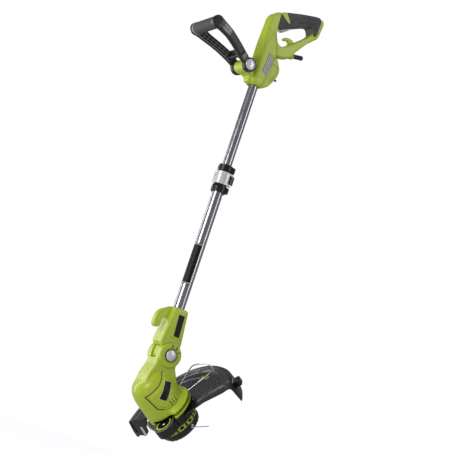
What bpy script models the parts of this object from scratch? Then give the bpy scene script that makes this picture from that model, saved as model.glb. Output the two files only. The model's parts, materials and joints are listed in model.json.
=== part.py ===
"""Corded string trimmer: D-handle, loop handle, telescopic pole and tilting cutting head.

Frame: the pole runs along Z and its top end, where it enters the handle, is the origin.
+Z points up the pole, +X points back to the user, and the near side is -Y.
The head is modelled in its own frame at the tilt pivot: X back, Z up along the spool axis.
Outlines are lists of points in millimetres; every other size is in metres.
"""
import math

import bmesh
import bpy
from mathutils import Matrix, Vector

# ---- driving dimensions -------------------------------------------------------
MM = 0.001
GAP = 0.0003                     # air between pieces that touch
WALL = 0.0026                    # wall of the moulded shells
WELD = 0.00003                   # points closer than this become one
SEGMENTS = 32

UPPER_TUBE_R = 0.0122
UPPER_TUBE_TOP = 0.030
UPPER_TUBE_BOTTOM = -0.420
LOWER_TUBE_R = 0.0140
LOWER_TUBE_TOP = -0.262
LOWER_TUBE_BOTTOM = -0.688
TUBE_WALL = 0.0012
COLLAR_TOP = -0.232
COLLAR_BOTTOM = -0.305
LEVER_PIN = (0.0150, -0.0190)    # x, y of the clamp lever's pin
YOKE_TOP = -0.616

FRONT_PIVOT = (-0.048, 0.0, 0.028)
FRONT_BARREL_R = 0.017
FRONT_BARREL_HALF = 0.0195
FRONT_GRIP = (-0.185, 0.0, 0.073)
FRONT_GRIP_R = 0.0155
FRONT_GRIP_HALF = 0.044

BODY_HALF = 0.022                # half width of the handle's main body
LOOP_HALF = 0.0155               # half width of the D and of its grip
GRIP_ANGLE = math.radians(33.0)  # slope of the grip's underside

TILT_PIVOT = (0.003, 0.0, -0.732)
HEAD_TILT = math.radians(-62.1)  # spool axis from the pole, about Y
BARREL_R = 0.030
BARREL_HALF = 0.0315
TONGUE_HALF = 0.0122
SPOOL_X = -0.078                 # spool axis in the head's frame
WHEEL_XY = (-0.1219, -0.0377)
WHEEL_R = 0.028
WHEEL_TOP = -0.1060
WHEEL_LOW = -0.1305
WIRE_Z = -0.1016                 # height of the plant guard's wire
GUARD_CENTRE = (-0.0113, -0.024)    # centre of the guard's rim, from the spool axis
GUARD_R = 0.174
GUARD_NEAR = math.radians(-57.0)
GUARD_FAR = math.radians(111.0)
CUTTER_R = 0.104                 # radius that the line is cut to
SPOOL_R = 0.0525
LINE_R = 0.0009

LIME = ("lime_plastic", (0.52, 0.66, 0.03), 0.38, 0.0)
BLACK = ("black_plastic", (0.018, 0.018, 0.020), 0.35, 0.0)
GREY_RUBBER = ("grey_rubber", (0.075, 0.075, 0.080), 0.70, 0.0)
LIGHT_GREY = ("light_grey_plastic", (0.55, 0.56, 0.57), 0.40, 0.0)
ALUMINIUM = ("aluminium_tube", (0.42, 0.43, 0.44), 0.30, 1.0)
SILVER = ("silver_plastic", (0.70, 0.71, 0.72), 0.30, 0.4)
STEEL = ("steel", (0.62, 0.63, 0.64), 0.28, 1.0)
COPPER = ("copper_winding", (0.60, 0.25, 0.10), 0.45, 0.8)
BRASS = ("brass_contact", (0.75, 0.60, 0.25), 0.35, 1.0)
LINE = ("nylon_line", (0.05, 0.30, 0.36), 0.40, 0.0)
RUBBER = ("black_rubber", (0.020, 0.020, 0.022), 0.60, 0.0)


# ---- small helpers -----------------------------------------------------------
def clear_scene():
    for obj in list(bpy.data.objects):
        bpy.data.objects.remove(obj, do_unlink=True)


def material(spec):
    name, colour, roughness, metallic = spec
    mat = bpy.data.materials.get(name)
    if mat is None:
        mat = bpy.data.materials.new(name)
        mat.use_nodes = True
        shader = mat.node_tree.nodes["Principled BSDF"]
        shader.inputs["Base Color"].default_value = (*colour, 1.0)
        shader.inputs["Roughness"].default_value = roughness
        shader.inputs["Metallic"].default_value = metallic
        mat.diffuse_color = (*colour, 1.0)
    return mat


def add_object(name, bm, spec, parent=None, at=(0.0, 0.0, 0.0), turn=None):
    """Makes an object of a bmesh; turn is a rotation matrix for its placement."""
    bmesh.ops.recalc_face_normals(bm, faces=bm.faces)
    mesh = bpy.data.meshes.new(name)
    bm.to_mesh(mesh)
    bm.free()
    mesh.shade_smooth()
    mesh.set_sharp_from_angle(angle=math.radians(35.0))
    obj = bpy.data.objects.new(name, mesh)
    bpy.context.scene.collection.objects.link(obj)
    obj.parent = parent
    obj.location = at
    if turn is not None:
        obj.rotation_euler = turn.to_euler()
    if spec is not None:
        mesh.materials.append(material(spec))
    return obj


def add_empty(name, at, parent=None, tilt=0.0):
    empty = bpy.data.objects.new(name, None)
    bpy.context.scene.collection.objects.link(empty)
    empty.parent = parent
    empty.location = at
    empty.rotation_euler = (0.0, tilt, 0.0)
    return empty


def axis_turn(axis):
    """Rotation that takes local Z to the given direction."""
    return Vector((0.0, 0.0, 1.0)).rotation_difference(Vector(axis)).to_matrix()


def mm_points(points):
    return [(a * MM, b * MM) for a, b in points]


def add_lathe(bm, profile, segments=SEGMENTS, start=0.0, sweep=2.0 * math.pi):
    """Turns a closed profile of (radius, height) about Z; a part turn gets flat ends."""
    whole = abs(sweep - 2.0 * math.pi) < 1e-6
    columns = segments if whole else segments + 1
    rings = []
    for radius, height in profile:
        if radius < 1e-7:
            rings.append([bm.verts.new((0.0, 0.0, height))])
            continue
        ring = []
        for i in range(columns):
            a = start + sweep * i / segments
            ring.append(bm.verts.new((radius * math.cos(a), radius * math.sin(a), height)))
        rings.append(ring)
    for k, ring in enumerate(rings):
        other = rings[(k + 1) % len(rings)]
        if len(ring) == 1 and len(other) == 1:
            continue
        for i in range(segments):
            j = (i + 1) % columns
            corners = [ring[i % len(ring)], ring[j % len(ring)]]
            corners += [other[j % len(other)], other[i % len(other)]]
            unique = list(dict.fromkeys(corners))
            if len(unique) >= 3:
                bm.faces.new(unique)
    if not whole:
        bm.faces.new([ring[0] for ring in rings])
        bm.faces.new([ring[-1] for ring in reversed(rings)])


def lathe(name, profile, spec, parent=None, at=(0.0, 0.0, 0.0), axis=(0.0, 0.0, 1.0), **options):
    bm = bmesh.new()
    add_lathe(bm, profile, **options)
    return add_object(name, bm, spec, parent, at, axis_turn(axis))


def ring_profile(inner, outer, low, high):
    return [(inner, low), (outer, low), (outer, high), (inner, high)]


def rod_profile(radius, low, high):
    return [(0.0, low), (radius, low), (radius, high), (0.0, high)]


def add_prism(bm, outline, low, high, plane):
    """Extrudes an outline of (a, b) points: XZ along Y, or XY along Z."""
    def point(a, b, depth):
        return (a, depth, b) if plane == "XZ" else (a, b, depth)
    bottom = [bm.verts.new(point(a, b, low)) for a, b in outline]
    top = [bm.verts.new(point(a, b, high)) for a, b in outline]
    bm.faces.new(bottom)
    bm.faces.new(list(reversed(top)))
    for i in range(len(outline)):
        j = (i + 1) % len(outline)
        bm.faces.new((bottom[j], bottom[i], top[i], top[j]))


def prism(name, outline, low, high, spec, plane="XZ", parent=None, bevel=0.0, at=(0.0, 0.0, 0.0)):
    bm = bmesh.new()
    add_prism(bm, outline, low, high, plane)
    obj = add_object(name, bm, spec, parent, at)
    if bevel > 0.0:
        mod = obj.modifiers.new("rounding", "BEVEL")
        mod.width = bevel
        mod.segments = 2
        mod.limit_method = "ANGLE"
        mod.angle_limit = math.radians(50.0)
    return obj


def box(name, low, high, spec, parent=None, bevel=0.0):
    outline = [(low[0], low[1]), (high[0], low[1]), (high[0], high[1]), (low[0], high[1])]
    return prism(name, outline, low[2], high[2], spec, "XY", parent, bevel)


def combine(obj, other, operation):
    """Boolean with a helper object, which stays out of the model."""
    mod = obj.modifiers.new(other.name, "BOOLEAN")
    mod.operation = operation
    mod.solver = "EXACT"
    mod.object = other
    other.display_type = "WIRE"
    other.hide_render = True
    return obj


def weld(obj):
    """Closes the hairline gaps that a chain of Booleans can leave."""
    mod = obj.modifiers.new("weld", "WELD")
    mod.merge_threshold = WELD
    return obj


def cut(obj, *others):
    for other in others:
        combine(obj, other, "DIFFERENCE")
    return obj


def join(obj, *others):
    for other in others:
        combine(obj, other, "UNION")
    return obj


def arc(centre, radius, start, end, count):
    """Points of an arc in degrees, for outlines in millimetres."""
    points = []
    for i in range(count + 1):
        a = math.radians(start + (end - start) * i / count)
        points.append((centre[0] + radius * math.cos(a), centre[1] + radius * math.sin(a)))
    return points


def half_space(name, side, parent=None, reach=0.5):
    """Everything on the other side of the split plane Y = 0."""
    edge = side * GAP / 2.0
    low, high = (edge, reach) if side < 0 else (-reach, edge)
    return box(name, (-reach, low, -reach * 2.2), (reach, high, reach), None, parent)


def tube_along(name, points, radius, spec, parent=None, steps=8):
    """Round cord along a smooth curve through the points."""
    route = [Vector(p) for p in points]
    ends = [2 * route[0] - route[1]] + route + [2 * route[-1] - route[-2]]
    smooth = []
    for i in range(1, len(ends) - 2):
        p0, p1, p2, p3 = ends[i - 1:i + 3]
        for k in range(steps):
            t = k / steps
            a = 2 * p1 + (p2 - p0) * t
            b = (2 * p0 - 5 * p1 + 4 * p2 - p3) * t ** 2
            c = (3 * p1 - p0 - 3 * p2 + p3) * t ** 3
            smooth.append((a + b + c) / 2.0)
    smooth.append(route[-1])
    curve = bpy.data.curves.new(name, "CURVE")
    curve.dimensions = "3D"
    curve.bevel_depth = radius
    curve.bevel_resolution = 2
    curve.use_fill_caps = True
    spline = curve.splines.new("POLY")
    spline.points.add(len(smooth) - 1)
    for point, place in zip(spline.points, smooth):
        point.co = (*place, 1.0)
    obj = bpy.data.objects.new(name, curve)
    bpy.context.scene.collection.objects.link(obj)
    obj.parent = parent
    curve.materials.append(material(spec))
    return obj


def screw(name, at, axis, length, parent=None, spec=STEEL):
    """Pan head screw; its head's underside is at the given place."""
    profile = [(0.0, -length), (0.0014, -length), (0.0014, 0.0), (0.0032, 0.0),
               (0.0032, 0.0014), (0.0020, 0.0022), (0.0, 0.0022)]
    return lathe(name, profile, spec, parent, at, axis, segments=12)


# ---- rear handle -------------------------------------------------------------
BODY_STATIONS = [                # height, front x, back x, half width, in millimetres
    (-5, -14, 11, 17), (2, -22, 14, 21), (20, -21, 17, 22), (64, -21, 21, 22), (98, -22, 27, 22),
    (122, -23, 20, 20), (150, -24, 8, 16), (176, -23, 4, 14)]
BELLY_OUTLINE = mm_points(
    [(0, 4), (14, -4), (33, 6), (47, 31), (54, 52), (53, 68), (46, 78), (36, 92), (6, 96)])
LUG_OUTLINE = mm_points([(-30, 2), (-26, -4), (-12, -5), (-12, 20), (-26, 19), (-30, 13)])
LOOP_OUTLINE = mm_points(
    [(-23, 150), (-22, 186), (-16, 200), (-6, 208), (4, 212), (22, 220), (63, 238), (108, 255), (128, 260),
     (138, 258), (142, 249), (137, 205), (107, 172), (80, 131), (75, 113), (41, 98), (16, 96), (-8, 130)])
FINGER_OUTLINE = mm_points(
    [(16, 170), (31, 180), (50, 193), (73, 208), (95, 222), (106, 225), (114, 221), (117, 212), (108, 195),
     (72, 158), (41, 129), (34, 127), (21, 129), (9, 152), (8, 161)])
HOOK_OUTLINE = mm_points(
    [(61, 140), (58, 152), (52, 156), (46, 152), (40, 151), (38, 155), (44, 161), (54, 165),
     (66, 165), (75, 160), (80, 160)])
BODY_CAVITY = mm_points(
    [(-17.5, 30), (-17.5, 116), (-12, 119), (14, 119), (22, 97), (17, 64), (13, 30)])
BELLY_CAVITY = mm_points(
    [(8, 30), (24, 12), (31, 11), (43, 34), (50, 53), (49, 66), (43, 75), (34, 88), (10, 92)])
GRIP_CAVITY = mm_points(
    [(-19, 112), (-20, 150), (-18, 185), (-13, 197), (-4, 204), (5, 208), (23, 216), (64, 234), (109, 251),
     (127, 256), (135, 254), (138, 247), (134, 208), (121, 206), (121, 214), (117, 224), (107, 229), (94, 226),
     (71, 212), (48, 197), (29, 184), (11, 173), (4, 163), (5, 150), (17, 126), (20, 112)])
STRUT_CAVITY = mm_points(
    [(42, 122), (76, 156), (113, 197), (132, 207), (104, 174), (76, 133), (72, 117), (44, 104)])
LEAD_WAY = mm_points([(12, 103), (48, 105), (48, 115), (12, 116)])


def grip_place(along, up):
    """Point in the side view from distances along the grip's underside and into the grip."""
    origin = (0.0355, 0.1830)
    c, s = math.cos(GRIP_ANGLE), math.sin(GRIP_ANGLE)
    return (origin[0] + along * c - up * s, origin[1] + along * s + up * c)


def grip_box(low, high):
    return [grip_place(low[0], low[1]), grip_place(high[0], low[1]),
            grip_place(high[0], high[1]), grip_place(low[0], high[1])]


def body_block(name, spec):
    """Tapering main body: octagonal sections from the pole's entry up to the grip."""
    bm = bmesh.new()
    rings = []
    for height, front, back, half in BODY_STATIONS:
        corner = 6.0
        section = [(front + corner, -half), (back - corner, -half), (back, -half + corner),
                   (back, half - corner), (back - corner, half), (front + corner, half),
                   (front, half - corner), (front, -half + corner)]
        rings.append([bm.verts.new((x * MM, y * MM, height * MM)) for x, y in section])
    for ring, other in zip(rings, rings[1:]):
        for i in range(8):
            j = (i + 1) % 8
            bm.faces.new((ring[i], ring[j], other[j], other[i]))
    bm.faces.new(rings[0])
    bm.faces.new(list(reversed(rings[-1])))
    return add_object(name, bm, spec)


def handle_shell(name, side):
    tag = name + "_cut_"
    shell = body_block(name, LIME)
    belly = prism(tag + "belly", BELLY_OUTLINE, -0.0150, 0.0150, None, bevel=0.004)
    lug = prism(tag + "lug", LUG_OUTLINE, -0.0130, 0.0130, None, bevel=0.003)
    loop = prism(tag + "loop", LOOP_OUTLINE, -LOOP_HALF, LOOP_HALF, None, bevel=0.005)
    hook = prism(tag + "hook", HOOK_OUTLINE, -0.0045, 0.0045, None)
    barrel = lathe(tag + "barrel", rod_profile(FRONT_BARREL_R, -FRONT_BARREL_HALF, FRONT_BARREL_HALF),
                   None, None, FRONT_PIVOT, (0.0, 1.0, 0.0), segments=32)
    neck = prism(tag + "neck", mm_points([(-50, 14), (-20, 6), (-20, 50), (-50, 43)]), -0.0165, 0.0165, None)
    finger = prism(tag + "finger", FINGER_OUTLINE, -0.03, 0.03, None)
    join(shell, loop)
    cut(shell, finger)
    join(shell, belly, lug, hook, barrel, neck)
    inner = BODY_HALF - 2.0 * WALL
    slim = LOOP_HALF - WALL - 0.0015
    cavity = prism(tag + "body_cavity", BODY_CAVITY, -inner, inner, None)
    join(cavity, prism(tag + "belly_cavity", BELLY_CAVITY, -0.0120, 0.0120, None))
    join(cavity, prism(tag + "grip_cavity", GRIP_CAVITY, -slim, slim, None))
    join(cavity, prism(tag + "strut_cavity", STRUT_CAVITY, -slim, slim, None))
    join(cavity, prism(tag + "lead_way", LEAD_WAY, -0.0050, 0.0050, None))
    bore = lathe(tag + "bore", rod_profile(UPPER_TUBE_R + GAP, -0.02, UPPER_TUBE_TOP + 0.004), None,
                 segments=40)
    rod = lathe(tag + "rod", rod_profile(0.0053, -0.03, 0.03), None, None, FRONT_PIVOT,
                (0.0, 1.0, 0.0), segments=24)
    slot = prism(tag + "trigger_slot", grip_box((-0.022, -0.012), (0.021, 0.009)), -0.0066, 0.0066, None)
    inlet = lathe(tag + "inlet", rod_profile(0.0058, -0.02, 0.02), None, None, INLET_ROOT,
                  INLET_AXIS, segments=24)
    cut(shell, cavity, bore, rod, slot, inlet, half_space(tag + "half", side))
    return weld(shell)


INLET_ROOT = Vector((0.0795, 0.0, 0.1255))
INLET_AXIS = Vector((0.956, 0.0, 0.292))


def rear_handle():
    handle_shell("rear_handle_left_shell", -1)
    handle_shell("rear_handle_right_shell", 1)
    pad = mm_points([(6, 208), (23, 217), (64, 235), (107, 251), (121, 254), (126, 246), (127, 212),
                     (119, 211), (117, 222), (107, 228), (94, 225), (72, 211), (48, 195), (29, 182), (10, 170)])
    for name, side in (("left_grip_pad", -1), ("right_grip_pad", 1)):
        near = side * (LOOP_HALF + GAP)
        far = side * (LOOP_HALF + 0.0026)
        prism(name, pad, min(near, far), max(near, far), GREY_RUBBER)
    nose = [(-0.0205, 0.001), (-0.0185, -0.0075), (-0.0100, -0.0090), (0.0060, -0.0062),
            (0.0190, -0.0008), (0.0190, 0.0060), (-0.0195, 0.0060)]
    pivot = grip_place(0.0150, 0.0030)
    trigger = [(x - pivot[0], z - pivot[1]) for x, z in (grip_place(a, b) for a, b in nose)]
    lever = prism("trigger", trigger, -0.0060, 0.0060, LIGHT_GREY, at=(pivot[0], 0.0, pivot[1]))
    spring_at = grip_place(-0.0120, 0.0064)
    up = (-math.sin(GRIP_ANGLE), 0.0, math.cos(GRIP_ANGLE))
    pocket = lathe("trigger_pocket", rod_profile(0.0044, -0.0062, 0.0040), None, None,
                   (spring_at[0], 0.0, spring_at[1]), up, segments=16)
    cut(lever, pocket)
    lathe("trigger_spring", ring_profile(0.0020, 0.0032, 0.0, 0.0062), STEEL, None,
          (spring_at[0], 0.0, spring_at[1]), up, segments=16)
    prism("switch_body", grip_box((-0.0160, 0.0130), (0.0120, 0.0260)), -0.0090, 0.0090, BLACK)
    plug = [(0.0, -0.0120), (0.0052, -0.0120), (0.0052, 0.0055), (0.0058, 0.0060), (0.0064, 0.0340),
            (0.0060, 0.0370), (0.0048, 0.0370), (0.0048, 0.0230), (0.0, 0.0230)]
    inlet_at = INLET_ROOT
    lathe("inlet_plug", plug, RUBBER, None, inlet_at, INLET_AXIS, segments=28)
    pin_low = INLET_AXIS * 0.0233
    for name, side in (("inlet_pin_left", -1), ("inlet_pin_right", 1)):
        offset = Vector((0.0, side * 0.0021, 0.0))
        lathe(name, rod_profile(0.0009, 0.0, 0.0125), BRASS, None, inlet_at + pin_low + offset,
              INLET_AXIS, segments=12)
    lead = [inlet_at - INLET_AXIS * 0.0130, inlet_at - INLET_AXIS * 0.0180, (0.045, 0.0, 0.110),
            (0.028, 0.0, 0.109), (0.008, 0.0, 0.115), (-0.006, 0.0, 0.134), (-0.010, 0.0, 0.160),
            (-0.006, 0.0, 0.180), (0.0035, 0.0, 0.1875)]
    tube_along("handle_lead", lead, 0.0028, RUBBER, steps=5)


# ---- front handle ------------------------------------------------------------
def front_arm(name, side, spec):
    """One arm of the loop: a beam that bows outward from its pivot ring to the grip."""
    stations = [(0.115, 0.0265, 0.0120, 0.0055), (0.24, 0.0288, 0.0125, 0.0055),
                (0.45, 0.0375, 0.0120, 0.0055), (0.70, 0.0475, 0.0125, 0.0055),
                (0.88, 0.0505, 0.0140, 0.0052), (1.0, 0.0505, 0.0165, 0.0052)]
    start = Vector(FRONT_PIVOT)
    run = Vector(FRONT_GRIP) - start
    along = run.normalized()
    across = Vector((-along.z, 0.0, along.x))
    bm = bmesh.new()
    rings = []
    for t, offset, half_height, half_thick in stations:
        bow = 0.006 * math.sin(math.pi * t)
        centre = start + run * t - across * bow + Vector((0.0, side * offset, 0.0))
        ring = []
        for a, b in ((-1, -0.6), (-0.6, -1), (0.6, -1), (1, -0.6), (1, 0.6), (0.6, 1), (-0.6, 1), (-1, 0.6)):
            place = centre + across * (a * half_height) + Vector((0.0, side * b * half_thick, 0.0))
            ring.append(bm.verts.new(place))
        rings.append(ring)
    for ring, other in zip(rings, rings[1:]):
        for i in range(8):
            j = (i + 1) % 8
            bm.faces.new((ring[i], ring[j], other[j], other[i]))
    bm.faces.new(rings[0])
    bm.faces.new(list(reversed(rings[-1])))
    return add_object(name, bm, spec)


def front_handle():
    y_axis = (0.0, 1.0, 0.0)
    handle = lathe("front_handle", rod_profile(0.0105, -0.054, 0.054), BLACK, None, FRONT_GRIP, y_axis,
                   segments=28)
    for side, word in ((-1, "left"), (1, "right")):
        arm = front_arm("front_arm_" + word, side, None)
        eye_profile = [(0.0053, 0.0200), (0.0190, 0.0200), (0.0190, 0.0325), (0.0145, 0.0325),
                       (0.0145, 0.0242), (0.0053, 0.0242)]
        eye = lathe("front_eye_" + word, eye_profile, None, None, FRONT_PIVOT, (0.0, float(side), 0.0))
        end = lathe("front_end_" + word, rod_profile(0.0165, 0.0450, 0.0560), None, None, FRONT_GRIP,
                    (0.0, float(side), 0.0), segments=28)
        join(handle, arm, eye, end)
    web = prism("front_web", mm_points([(-86, 37), (-78, 35), (-75, 57), (-83, 60)]), -0.030, 0.030, None)
    join(handle, web)
    for side, word in ((-1, "left"), (1, "right")):
        cap = [(0.0, 0.0328), (0.0106, 0.0328), (0.0106, 0.0290), (0.0140, 0.0290), (0.0140, 0.0345),
               (0.0118, 0.0362), (0.0, 0.0368)]
        lathe("front_button_" + word, cap, SILVER, None, FRONT_PIVOT, (0.0, float(side), 0.0), segments=32)
        lathe("front_button_spring_" + word, ring_profile(0.0085, 0.0100, 0.0245, 0.0287), STEEL, None,
              FRONT_PIVOT, (0.0, float(side), 0.0), segments=20)
    weld(handle)
    lathe("front_pivot_rod", rod_profile(0.0050, -0.0240, 0.0240), STEEL, None, FRONT_PIVOT, y_axis,
          segments=24)
    sleeve = ring_profile(0.0105 + GAP, FRONT_GRIP_R, -FRONT_GRIP_HALF, FRONT_GRIP_HALF)
    lathe("front_grip_sleeve", sleeve, GREY_RUBBER, None, FRONT_GRIP, y_axis, segments=28)


# ---- pole --------------------------------------------------------------------
def pole():
    upper = ring_profile(UPPER_TUBE_R - TUBE_WALL, UPPER_TUBE_R, UPPER_TUBE_BOTTOM, UPPER_TUBE_TOP)
    lathe("upper_tube", upper, ALUMINIUM, segments=32)
    lower = ring_profile(LOWER_TUBE_R - TUBE_WALL, LOWER_TUBE_R, LOWER_TUBE_BOTTOM, LOWER_TUBE_TOP)
    lathe("lower_tube", lower, ALUMINIUM, segments=32)
    bush = [(0.0106 - GAP, UPPER_TUBE_BOTTOM - 0.0120), (0.0125, UPPER_TUBE_BOTTOM - 0.0120),
            (0.0125, UPPER_TUBE_BOTTOM - GAP), (0.0106 - GAP, UPPER_TUBE_BOTTOM - GAP)]
    lathe("guide_bush", bush, BLACK, segments=32)
    inner_top = UPPER_TUBE_R + GAP
    inner_low = LOWER_TUBE_R + GAP
    step = LOWER_TUBE_TOP + GAP
    body = [(inner_top, COLLAR_TOP), (0.0185, COLLAR_TOP), (0.0195, COLLAR_TOP - 0.0015),
            (0.0195, COLLAR_TOP - 0.0180), (0.0165, COLLAR_TOP - 0.0190), (0.0165, COLLAR_BOTTOM + 0.0190),
            (0.0195, COLLAR_BOTTOM + 0.0180), (0.0195, COLLAR_BOTTOM + 0.0015), (0.0185, COLLAR_BOTTOM),
            (inner_low, COLLAR_BOTTOM), (inner_low, step), (inner_top, step)]
    collar = lathe("clamp_collar", body, BLACK, segments=36)
    ear = box("collar_ear", (0.0098, -0.0225, COLLAR_BOTTOM + 0.0205), (0.0210, -0.0120, COLLAR_TOP - 0.0205),
              None)
    ear_bore = lathe("collar_ear_bore", rod_profile(inner_low + 0.0010, -0.32, -0.22), None)
    cut(ear, ear_bore)
    join(collar, ear)
    pin_hole = lathe("collar_pin_hole", rod_profile(0.0019, -0.30, -0.24), None, None, (*LEVER_PIN, 0.0),
                     segments=16)
    cut(collar, pin_hole)
    for name, low, high in (("cheek_top", COLLAR_TOP - 0.0260, COLLAR_TOP - 0.0195),
                            ("cheek_low", COLLAR_BOTTOM + 0.0195, COLLAR_BOTTOM + 0.0260)):
        notch = box("collar_" + name, (0.0085, -0.030, low), (0.030, -0.0128, high), None)
        cut(collar, notch)
    lathe("lever_pin", rod_profile(0.0016, COLLAR_BOTTOM + 0.0200, COLLAR_TOP - 0.0200), STEEL, None,
          (*LEVER_PIN, 0.0), segments=14)
    clamp_lever()


def clamp_lever():
    """Curved lever that wraps the collar; two knuckles hold it on its pin."""
    origin = (*LEVER_PIN, 0.0)
    shift = Vector((-LEVER_PIN[0], -LEVER_PIN[1], 0.0))
    bm = bmesh.new()
    low = COLLAR_BOTTOM + 0.0200
    high = COLLAR_TOP - 0.0200
    add_lathe(bm, ring_profile(0.0190, 0.0222, low, high), segments=14,
              start=math.radians(-205.0), sweep=math.radians(133.0))
    bmesh.ops.translate(bm, verts=bm.verts, vec=shift)
    lever = add_object("clamp_lever", bm, SILVER, None, origin)
    for name, bottom, top in (("knuckle_top", high - 0.0050, high - 0.0002),
                              ("knuckle_low", low + 0.0002, low + 0.0050)):
        outline = mm_points([(-3.6, -3.4), (3.0, -3.6), (3.4, 0), (3.0, 3.0), (-0.5, 3.2), (-8.6, 0.8),
                             (-10.0, -1.7)])
        knuckle = prism("lever_" + name, outline, bottom, top, None, "XY", None, 0.0, origin)
        join(lever, knuckle)
    hole = lathe("lever_hole", rod_profile(0.0019, -0.32, -0.22), None, None, origin, segments=16)
    cut(lever, hole)
    return lever


# ---- yoke --------------------------------------------------------------------
YOKE_OUTLINE = mm_points(
    [(-21, -616), (15, -616), (18, -622), (27, -698), (26, -716), (-24, -716), (-31, -706),
     (-29, -690), (-24, -650)])
YOKE_HOOK = mm_points(
    [(-16, -617), (-30, -621), (-50, -634), (-56, -644), (-59, -656), (-58, -671), (-52, -678),
     (-44, -677), (-40, -671), (-40, -660), (-37, -652), (-30, -647), (-20, -646)])


def yoke_shell(name, side):
    tag = name + "_cut_"
    shell = prism(name, YOKE_OUTLINE, -0.0225, 0.0225, LIME, bevel=0.004)
    join(shell, prism(tag + "hook", YOKE_HOOK, -0.0085, 0.0085, None))
    flare = lathe(tag + "barrel_space", rod_profile(BARREL_R + 0.0008, -0.05, 0.05), None, None, TILT_PIVOT,
                  (0.0, 1.0, 0.0), segments=40)
    cut(shell, flare)
    tongue_outline = arc((3.0, -732.0), 26.0, -200.0, 20.0, 18) + [(22.0, -694.0), (-16.0, -694.0)]
    tongue = prism(tag + "tongue", mm_points(tongue_outline), -TONGUE_HALF, TONGUE_HALF, None)
    join(shell, tongue)
    bore = lathe(tag + "bore", rod_profile(LOWER_TUBE_R + GAP, LOWER_TUBE_BOTTOM - GAP, YOKE_TOP + 0.02), None,
                 segments=40)
    lead = lathe(tag + "lead", rod_profile(0.0048, -0.80, -0.60), None, segments=20)
    pin = lathe(tag + "pin", rod_profile(0.0053, -0.05, 0.05), None, None, TILT_PIVOT, (0.0, 1.0, 0.0),
                segments=24)
    cut(shell, bore, lead, pin, half_space(tag + "half", side))
    return weld(shell)


def yoke():
    yoke_shell("yoke_left_shell", -1)
    yoke_shell("yoke_right_shell", 1)
    route = [(0.0, 0.0, -0.262), (0.0, 0.0, -0.34), (0.0, 0.0, -0.44), (0.0, 0.0, -0.55), (0.0, 0.0, -0.660),
             (0.0, 0.0, -0.720)]
    tube_along("pole_lead", route, 0.0030, RUBBER, steps=4)


# ---- head --------------------------------------------------------------------
ARM_OUTLINE = mm_points(
    [(27, -10), (20, -25), (-9, -34), (-25, -60), (-31, -74), (-24, -92), (-60, -96), (-104, -40),
     (-106, -18), (-96, -3), (-70, 7), (-36, 12), (-22, 22), (0, 20)])
ARM_CAVITY = mm_points(
    [(-33, -34), (-30, -58), (-35, -76), (-60, -90), (-100, -40), (-102, -20), (-93, -7), (-69, 3),
     (-38, 8)])
MOTOR_PROFILE = mm_points(
    [(0, 1), (22, -1), (35, -6), (43, -15), (48, -28), (51, -46), (52, -70), (53, -86), (59, -91),
     (65, -94), (66, -98.5), (0, -98.5)])
MOTOR_CAVITY = mm_points(
    [(0, -2), (21, -4), (33, -9), (40.5, -17), (45.5, -29), (48.4, -46), (49.4, -70), (49.4, -120),
     (0, -120)])


def head_shell(name, side, head):
    tag = name + "_cut_"
    y_axis = (0.0, 1.0, 0.0)
    shell = lathe(name, MOTOR_PROFILE, LIME, head, (SPOOL_X, 0.0, 0.0), segments=36)
    arm = prism(tag + "arm", ARM_OUTLINE, -0.0265, 0.0265, None, "XZ", head, 0.006)
    barrel = lathe(tag + "barrel", rod_profile(BARREL_R, -BARREL_HALF, BARREL_HALF), None, head,
                   (0.0, 0.0, 0.0), y_axis, segments=40)
    join(shell, arm, barrel)
    cavity = lathe(tag + "cavity", MOTOR_CAVITY, None, head, (SPOOL_X, 0.0, 0.0), segments=32, start=0.04)
    join(cavity, prism(tag + "arm_cavity", ARM_CAVITY, -0.0235, 0.0235, None, "XZ", head))
    slot = lathe(tag + "slot", rod_profile(0.0325, -TONGUE_HALF - 0.0006, TONGUE_HALF + 0.0006), None, head,
                 (0.0, 0.0, 0.0), y_axis, segments=40)
    bore = [(0.0, -0.0400), (0.0142, -0.0400), (0.0142, -0.0220), (0.0053, -0.0220), (0.0053, 0.0290),
            (0.0, 0.0290)]
    pin = lathe(tag + "pin", bore, None, head, (0.0, 0.0, 0.0), y_axis, segments=28, start=0.03)
    cut(shell, cavity, slot, pin)
    vents = bmesh.new()
    for index in range(3):
        x = SPOOL_X + 0.006 + (index - 1) * 0.008
        slit = [(x - 0.0010, -0.084), (x + 0.0010, -0.084), (x + 0.0010, -0.068), (x - 0.0010, -0.068)]
        add_prism(vents, slit, -0.08, 0.08, "XZ")
    cut(shell, add_object(tag + "vents", vents, None, head), front_notch(tag, head))
    cut(shell, half_space(tag + "half", side, head))
    return weld(shell)


FOOT_R = 0.0534                  # outside of the housing where its foot doesn't flare
FRONT_ANGLES = [math.radians(a) for a in (142, 170, 198, 226, 250)]


def front_notch(tag, head):
    """Takes the housing's flared foot away in front, round to where the wheel sits."""
    outline = [(0.0, 0.0)] + [(math.cos(a) * 0.09, math.sin(a) * 0.09) for a in FRONT_ANGLES]
    notch = prism(tag + "front_notch", outline, -0.1300, -0.0880, None, "XY", head, 0.0, (SPOOL_X, 0.0, 0.0))
    spare = lathe(tag + "front_notch_limit", rod_profile(FOOT_R, -0.1400, -0.0800), None, head,
                  (SPOOL_X, 0.0, 0.0), segments=36, start=0.02)
    return cut(notch, spare)


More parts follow.
